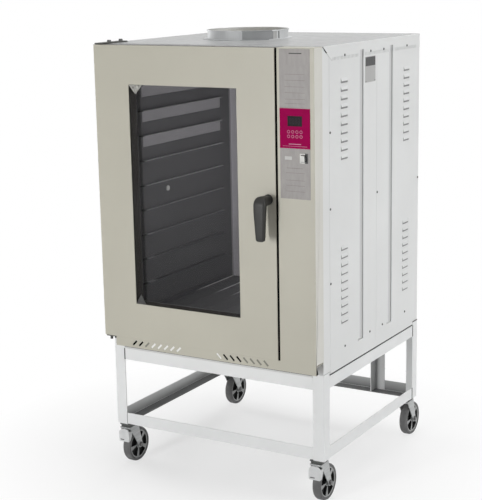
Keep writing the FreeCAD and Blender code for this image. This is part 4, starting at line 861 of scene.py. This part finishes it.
def make_fasteners():
    """Domed cross-slot screws on the sides and hexagon bolts on the top hinge."""
    bm = bmesh.new()
    for low, high in islands("fasteners"):
        middle = (low + high) / 2
        extent = (high - low) / MM
        if extent.z < extent.y:
            base = turn_to(Vector((middle.x, middle.y, low.z)), Z_AXIS)
            lathe(bm, BOLT_WASHER, base, 32)
            lathe(bm, BOLT_HEAD, base, 6)
            continue
        side = 1 if middle.x > 0 else -1
        foot = low.x if side > 0 else high.x
        base = turn_to(Vector((foot, middle.y, middle.z)), X_AXIS * side)
        lathe(bm, SCREW_DOME, base, 24)
        tip = Vector((foot + side * SLOT_HEIGHT * MM, middle.y, middle.z))
        # The cross slots are dark slabs, painted shade down in the slot
        for reach in SLOT_ARMS:
            arm = Vector(reach) * MM
            slab(bm, tip - arm, tip + arm, 0, 1)
    piece("fastener_heads", bm, "cabinet", ["screw_steel", "gap_shade"],
          ["fasteners"], 30)


# Collar and its seams, in millimetres
FLUE_RADIUS = 170
FLUE_SEAM_SPAN = (2.2, 32.6)


def make_flue():
    """Collar with a lapped seam and a dark line beside it, each as (degrees, width, height, look)."""
    soften("flue_collar", 0.7)
    bm = bmesh.new()
    low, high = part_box("flue_collar")
    middle = (low + high) / 2
    for degrees, wide, out, index in ((-18.8, 20.0, 1.4, 0), (-11.2, 5.0, 0.7, 1)):
        half = wide / 2 / FLUE_RADIUS
        inner, outer = FLUE_RADIUS - 0.1, FLUE_RADIUS + out
        rings = []
        for height in FLUE_SEAM_SPAN:
            foot = Vector((middle.x, middle.y, low.z + height * MM))
            ring = []
            for radius, turn in ((inner, -half), (inner, half), (outer, half), (outer, -half)):
                angle = math.radians(degrees) + turn
                ring.append(bm.verts.new(foot + Vector((math.cos(angle), math.sin(angle), 0)) * radius * MM))
            rings.append(ring)
        skin(bm, rings, index)
    piece("flue_seam", bm, "cabinet", ["plate_light", "plate_dark"])


def make_rating_plate():
    """Blank two-tone plate with four rivets on the right side."""
    bm = bmesh.new()
    face = SIDES[1] - 1.5
    slab(bm, spot(face - 0.2, 439, 1648), spot(face + 0.6, 533, 1749), 0.25)
    slab(bm, spot(face, 441, 1712), spot(face + 0.8, 531, 1747), 0.2, 1)
    for y in (444, 528):
        for z in (1653, 1744):
            lathe(bm, RIVET_HEAD, turn_to(spot(face + 0.5, y, z), X_AXIS), 16, 2)
    piece("rating_plate", bm, "cabinet", ["plate_light", "plate_dark", "screw_steel"])


# Side view of the seam as (y, z)
SKIRT_SEAM = ((64.4, 1811.2), (69.6, 1811.2), (104.6, 1786), (98.6, 1786))


def make_skirt_seam():
    """Dark strip as painted shade in the open seam along the slanted front ends of the roof's skirts."""
    bm = bmesh.new()
    for x in SIDES:
        prism(bm, [spot(x, y, z) for y, z in SKIRT_SEAM], X_AXIS, -1.4, 0.4)
    piece("skirt_seams", bm, "cabinet", ["gap_shade"])


LOUVRE_MIDDLES = (251, 845)
LOUVRE_TOPS = (1690, 1035)
LOUVRE_HALF = 33
LOUVRE_TALL = 322
LOUVRE_FILL_SPAN = (495.2, 496.4)


def make_louvre_light_fills():
    """Grey fills behind the groups of louvres, painted light that shows in the slots in place of the dark
    inside.
    """
    bm = bmesh.new()
    for side in (-1, 1):
        inner, outer = sorted(side * x for x in LOUVRE_FILL_SPAN)
        for y in LOUVRE_MIDDLES:
            for top in LOUVRE_TOPS:
                slab(bm, spot(inner, y - LOUVRE_HALF, top - LOUVRE_TALL),
                     spot(outer, y + LOUVRE_HALF, top), 0.2)
    piece("louvre_light_fills", bm, "cabinet", ["louvre_fill_grey"])


def make_cabinet():
    """Roof, hinges and the small things on the cabinet's skins."""
    # The roof's upward faces take a darker copy of the skin paint, as painted shade.
    soften("top_cover", 2.2, ["-x", "+x", "+y", "+z"], looks=["panel_paint", "roof_shade_paint"],
           pick=lambda face: int(face.normal.z > 0.9), steps=3)
    make_louvre_light_fills()
    soften("cable_gland", 0.6)
    soften("hinge_top", 0.7)
    soften("hinge_bottom", 0.7)
    make_fasteners()
    make_flue()
    make_rating_plate()
    make_skirt_seam()


# Front

def roof_edge(face):
    """One on the door's upper edge."""
    return int(face.normal.z > 0.6 and face.calc_center_median().z > 1.8)


def make_front():
    """Door pan, control column with its switch, and what fills the gaps round them."""
    soften("door_outer", 1.8, ["-x", "+x", "-y", "+z"], looks=["front_paint", "front_shade"],
           pick=roof_edge, steps=3)
    # The column's right-facing return takes a lighter copy of the front paint, as painted light.
    soften("fascia", 1.6, ["+x", "-y", "-z", "+z"], looks=["front_paint", "front_return_lit"],
           pick=lambda face: int(face.normal.x > 0.8), steps=3)
    soften("rocker_bezel", 0.6)
    soften("rocker", 0.9)
    soften("handle_rose", 1.0)
    make_column_gap_shade()
    make_door_sill()
    make_vent_backing()


def make_column_gap_shade():
    """Black strip as painted shade in the gap between the door and the control column."""
    bm = bmesh.new()
    slab(bm, spot(333.5, 0.6, 602), spot(342.95, 9, 1810), 0.4)
    piece("column_gap_shade", bm, "cabinet", ["gap_shade"])


def make_door_sill():
    """Painted strip that closes the gap under the door."""
    bm = bmesh.new()
    slab(bm, spot(-442, 0.1, 597.05), spot(342.9, 5, 600.8), 0.1)
    piece("door_sill", bm, "cabinet", ["front_paint"])


VENT_LOOKS = ["vent_lit", "gap_shade", "vent_shade"]
VENT_SPANS = ((-364, -303, "gap_shade"), (-303, -272, "vent_shade"), (-272, -115, "vent_lit"),
              (46, 76.5, "vent_lit"), (76.5, 169, "gap_shade"), (169, 296, "vent_shade"))


def make_vent_backing():
    """Strips behind the apron's slots, as (left, right, look): painted light where the slots show bright,
    painted shade where they show dark.
    """
    bm = bmesh.new()
    for left, right, look in VENT_SPANS:
        slab(bm, spot(left, 1.7, 563), spot(right, 2.5, 596), 0.2, VENT_LOOKS.index(look))
    piece("vent_backing", bm, "cabinet", VENT_LOOKS)


# Lever along its middle line as (y, z, half width, half thickness)
HANDLE_X = 300
HANDLE_FOOT = -8.4
HANDLE_ROUTE = [(HANDLE_FOOT, 1236, 17, 18), (-26, 1236, 17, 18.6), (-44, 1236.5, 19.5, 19),
                (-56, 1236, 23, 18.2), (-63.5, 1229, 25, 15.4), (-66, 1215, 25.2, 13.8),
                (-66.4, 1195, 24.4, 13.4), (-66.4, 1172, 23, 13.2), (-66, 1140, 20.8, 12.6),
                (-65.6, 1108, 18.8, 12), (-65.2, 1094, 17.8, 11.2), (-65, 1087.5, 15, 9.4),
                (-64.8, 1084.9, 9, 5.6), (-64.7, 1084.2, 1.2, 0.8)]
HANDLE_POINTS = 40
SQUARE_POWER = 0.5


def make_handle():
    """Moulded lever that sweeps out from its rose and hangs down, over the CAD spindle and tongue."""
    bm = cad_copy("handle")
    whole = bm.verts[:] + bm.edges[:] + bm.faces[:]
    bmesh.ops.bisect_plane(bm, geom=whole, plane_co=spot(0, HANDLE_FOOT, 0), plane_no=Y_AXIS,
                           clear_inner=True)
    steps = glide(HANDLE_ROUTE, 4)
    rings = []
    for k, (y, z, wide, thick) in enumerate(steps):
        before, after = steps[max(k - 1, 0)], steps[min(k + 1, len(steps) - 1)]
        ahead = Vector((0, after[0] - before[0], after[1] - before[1])).normalized()
        across = ahead.cross(X_AXIS)
        ring = []
        for j in range(HANDLE_POINTS):
            angle = 2 * math.pi * j / HANDLE_POINTS
            c, s = math.cos(angle), math.sin(angle)
            u = math.copysign(abs(c) ** SQUARE_POWER, c) * wide
            v = math.copysign(abs(s) ** SQUARE_POWER, s) * thick
            ring.append(bm.verts.new(spot(HANDLE_X, y, z) + (X_AXIS * u + across * v) * MM))
        rings.append(ring)
    skin(bm, rings)
    piece("handle_lever", bm, "handle", ["black_plastic"], ["handle"], 50)


# Bead of the gasket, in metres
BEAD_BEND = 0.03
BEAD_INSET = 0.007
BEAD_HALF = 0.0068
BEAD_POINTS = 12
BEND_STEPS = 8


def make_gasket():
    """Bulb seal on the inner door: a round bead along a rounded rectangle."""
    low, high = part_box("door_gasket")
    y = (low.y + high.y) / 2
    radius = (high.y - low.y) / 2
    set_in = BEAD_INSET + BEAD_BEND
    path = []
    corners = ((low.x, low.z, 1, 1), (high.x, low.z, -1, 1),
               (high.x, high.z, -1, -1), (low.x, high.z, 1, -1))
    for k, (x, z, sx, sz) in enumerate(corners):
        centre = Vector((x + sx * set_in, 0, z + sz * set_in))
        for step in range(BEND_STEPS + 1):
            angle = math.pi + math.pi / 2 * (k + step / BEND_STEPS)
            out = Vector((math.cos(angle), 0, math.sin(angle)))
            path.append((centre + out * BEAD_BEND, out))
    bm = bmesh.new()
    rings = []
    for point, out in path:
        ring = []
        for j in range(BEAD_POINTS):
            angle = 2 * math.pi * j / BEAD_POINTS
            off = out * math.cos(angle) * BEAD_HALF + Y_AXIS * math.sin(angle) * radius
            ring.append(bm.verts.new(Vector((point.x, y, point.z)) + off))
        rings.append(ring)
    skin(bm, rings, closed=True)
    piece("gasket_bulb", bm, "door", ["seal_rubber"], ["door_gasket"], 60)


# Clips as (edge they lie on, way they point, width, height)
CLIPS = ((1653.6, -1, 64, 37), (752.4, 1, 50, 44))
CLIP_LEFT = -333.4


def make_glass_clips():
    """Three-cornered clips that hold the outer pane at its left corners, the upper in a lighter copy of the
    tab steel as painted light and the lower in a darker copy as painted shade, and a bead down its left
    reveal.
    """
    bm = bmesh.new()
    for index, (edge, toward, wide, tall) in enumerate(CLIPS):
        clip = [spot(CLIP_LEFT, 0.5, edge), spot(CLIP_LEFT + wide, 0.5, edge),
                spot(CLIP_LEFT + wide / 2, 0.5, edge + toward * tall)]
        prism(bm, clip, Y_AXIS, 0, 0.9, 0.2, index)
    slab(bm, spot(-334.2, 46.5, 754), spot(-333.2, 50.3, 1654), 0.2, 2)
    piece("glass_clips", bm, "door", ["spacer_tab", "spacer_tab_shade", "spacer_bead"])


# Control face

KEY_RING = [(-0.05, 4.2), (0.07, 4.3), (0.07, 6.0), (-0.05, 6.1)]
KEY_PITCH = 17.5
KEYS_MIDDLE = 418
KEYS_TOP = 1501
DIGITS = 4
DIGITS_LEFT = 395
DIGIT_STEP = 12
DIGIT_FOOT = 1530.5


def make_prints():
    """Plain printed rules on the control face as (left, right, z, height), a blank tag and key rings."""
    bm = bmesh.new()
    dark = [(395, 448, 1790.5, 4)]
    rules = [(376, 460, z, 1.1) for z in (1606, 1622, 1646, 1668, 1692, 1714)]
    rules += [(378, 458, z, 1.1) for z in (1276, 1298, 1318, 1346)] + [(382, 450, 1364, 1.6)]
    light = [(392, 444, 1455, 3.2), (366, 470, 1447, 1.4)]
    light += [(355, 481, z, 1.0) for z in (1438.8, 1588.4)]
    for rows, y, index in ((dark, PLATE_FACE, 1), (rules, PLATE_FACE, 0), (light, FILM_FACE, 2)):
        for left, right, z, tall in rows:
            slab(bm, spot(left, y - 0.06, z - tall / 2), spot(right, y + 0.04, z + tall / 2), 0.02, index)
    for column in range(4):
        for row in range(2):
            at = spot(KEYS_MIDDLE + (column - 1.5) * KEY_PITCH, FILM_FACE - 0.5, KEYS_TOP - row * KEY_PITCH)
            lathe(bm, KEY_RING, turn_to(at, -Y_AXIS), 32, 2, True)
    slab(bm, spot(374, -1.15, 1395), spot(404, -0.75, 1408), 0.15, 3)
    piece("control_prints", bm, "cabinet", ["print_dark", "print_black", "print_light", "tag_white"])


def make_segments():
    """Unlit segments of the display's digits."""
    bm = bmesh.new()
    front, back = FILM_FACE - 0.58, FILM_FACE - 0.48
    for digit in range(DIGITS):
        left = DIGITS_LEFT + digit * DIGIT_STEP
        for rise in (0, 10, 20):
            foot = DIGIT_FOOT + rise
            slab(bm, spot(left + 1, front, foot), spot(left + 7, back, foot + 1.6), 0.03)
            if rise < 20:
                for x in (left, left + 6.6):
                    slab(bm, spot(x, front, foot + 2.1), spot(x + 1.5, back, foot + 9.5), 0.03)
    piece("display_segments", bm, "cabinet", ["segment_dim"])


# Camera, light and floor

CAMERA_PLACE = (2.70828, -4.74772, 2.10946)
CAMERA_TURN = (30.7836, 12.3191, -1.1175)
CAMERA_LENS = 97.25
CAMERA_SENSOR = 36
DIM_WORLD = 0.08
FLOOR_SIZE = 40
SHADE_MIDDLE = (-0.1, 0.05, 0.0)
SHADE_REACH = (0.35, 1.3)
LAMP_TARGET = (0, 0, 1.0)

# Area lamps as (name, place, size, power, height of a strip)
LAMPS = (("side_soft", (5.2, 0.4, 2.6), 3.0, 124, None), ("left_soft", (-5.2, 1.4, 1.3), 2.4, 130, None),
         ("front_strip", (-1.0, -4.9, 1.3), 0.5, 103, 1.8), ("top_soft", (0.3, 0.7, 5.5), 4.5, 128, None))


def make_camera():
    """Camera turned by yaw, pitch and roll in degrees."""
    data = bpy.data.cameras.new("photo_camera")
    data.lens = CAMERA_LENS
    data.sensor_width = CAMERA_SENSOR
    data.sensor_fit = "HORIZONTAL"
    camera = bpy.data.objects.new("photo_camera", data)
    yaw, pitch, roll = (math.radians(v) for v in CAMERA_TURN)
    ahead = Vector((-math.sin(yaw) * math.cos(pitch), math.cos(yaw) * math.cos(pitch), -math.sin(pitch)))
    level = Vector((math.cos(yaw), math.sin(yaw), 0))
    rise = level.cross(ahead)
    right = level * math.cos(roll) + rise * math.sin(roll)
    up = rise * math.cos(roll) - level * math.sin(roll)
    turn = Matrix((right, up, -ahead)).transposed().to_4x4()
    camera.matrix_world = Matrix.Translation(CAMERA_PLACE) @ turn
    bpy.context.scene.collection.objects.link(camera)
    bpy.context.scene.camera = camera


def seen_rays(tree):
    """One for rays that reach the picture directly, by a mirror or through glass."""
    path = tree.nodes.new("ShaderNodeLightPath")
    total = path.outputs["Is Camera Ray"]
    for name in ("Is Glossy Ray", "Is Transmission Ray"):
        either = tree.nodes.new("ShaderNodeMath")
        either.operation = "MAXIMUM"
        tree.links.new(total, either.inputs[0])
        tree.links.new(path.outputs[name], either.inputs[1])
        total = either.outputs[0]
    return total


def make_world():
    """White backdrop that gives only a little light."""
    world = bpy.data.worlds.new("studio")
    bpy.context.scene.world = world
    world.use_nodes = True
    tree = world.node_tree
    backdrop = tree.nodes["Background"]
    backdrop.inputs["Color"].default_value = (1, 1, 1, 1)
    strength = tree.nodes.new("ShaderNodeMapRange")
    strength.inputs["To Min"].default_value = DIM_WORLD
    strength.inputs["To Max"].default_value = 1.0
    tree.links.new(seen_rays(tree), strength.inputs["Value"])
    tree.links.new(strength.outputs[0], backdrop.inputs["Strength"])


def make_floor():
    """Pale studio floor that keeps soft shadows near the stand and runs out to white."""
    bm = bmesh.new()
    bmesh.ops.create_grid(bm, x_segments=8, y_segments=8, size=FLOOR_SIZE)
    mesh = bpy.data.meshes.new("studio_floor")
    bm.to_mesh(mesh)
    bm.free()
    floor = bpy.data.objects.new("studio_floor", mesh)
    bpy.context.scene.collection.objects.link(floor)
    look = Look("studio_floor")
    tree = look.tree
    tree.nodes.remove(look.skin)
    dull = tree.nodes.new("ShaderNodeBsdfDiffuse")
    look.join(look.tone(look.noise(1.2), (0.86, 0.86, 0.86), 0.01), dull.inputs["Color"])
    glow = tree.nodes.new("ShaderNodeEmission")
    far = tree.nodes.new("ShaderNodeVectorMath")
    far.operation = "DISTANCE"
    look.join(look.place, far.inputs[0])
    far.inputs[1].default_value = SHADE_MIDDLE
    share = look.both(look.remap(far.outputs["Value"], *SHADE_REACH, 0.55, 1.0), seen_rays(tree))
    mix = tree.nodes.new("ShaderNodeMixShader")
    look.join(share, mix.inputs[0])
    look.join(dull.outputs[0], mix.inputs[1])
    look.join(glow.outputs[0], mix.inputs[2])
    look.join(mix.outputs[0], tree.nodes["Material Output"].inputs["Surface"])
    mesh.materials.append(look.material)


def make_lamp(name, place, target, size, power, tall=None):
    """Area lamp that looks at a target. A tall one is a strip."""
    data = bpy.data.lights.new(name, "AREA")
    data.size = size
    if tall:
        data.shape = "RECTANGLE"
        data.size_y = tall
    data.energy = power
    lamp = bpy.data.objects.new(name, data)
    lamp.location = place
    lamp.rotation_euler = (Vector(target) - Vector(place)).to_track_quat("-Z", "Y").to_euler()
    bpy.context.scene.collection.objects.link(lamp)
    return lamp


def make_lamps():
    """Soft lamps round the part, and hidden ones behind it and in the chamber."""
    for name, place, size, power, tall in LAMPS:
        make_lamp(name, place, LAMP_TARGET, size, power, tall)
    hidden = (make_lamp("rear_soft", (-0.8, 5.6, 1.3), LAMP_TARGET, 2.4, 140),
              make_lamp("chamber_lamp", spot(164, 86, 1200), spot(-240, 560, 1200), 0.05, 1.8, 0.9),
              make_lamp("chamber_rear", spot(80, 640, 1200), spot(-60, 890, 1200), 0.05, 0.5, 0.9))
    for lamp in hidden:
        lamp.visible_camera = False
        lamp.visible_glossy = False


def main():
    """Build the scene."""
    dress_nodes()
    make_camera()
    make_world()
    make_floor()
    make_lamps()
    make_stand()
    make_casters()
    make_cabinet()
    make_front()
    make_handle()
    make_gasket()
    make_glass_clips()
    make_prints()
    make_segments()
    bpy.context.scene.view_settings.view_transform = "Standard"


main()
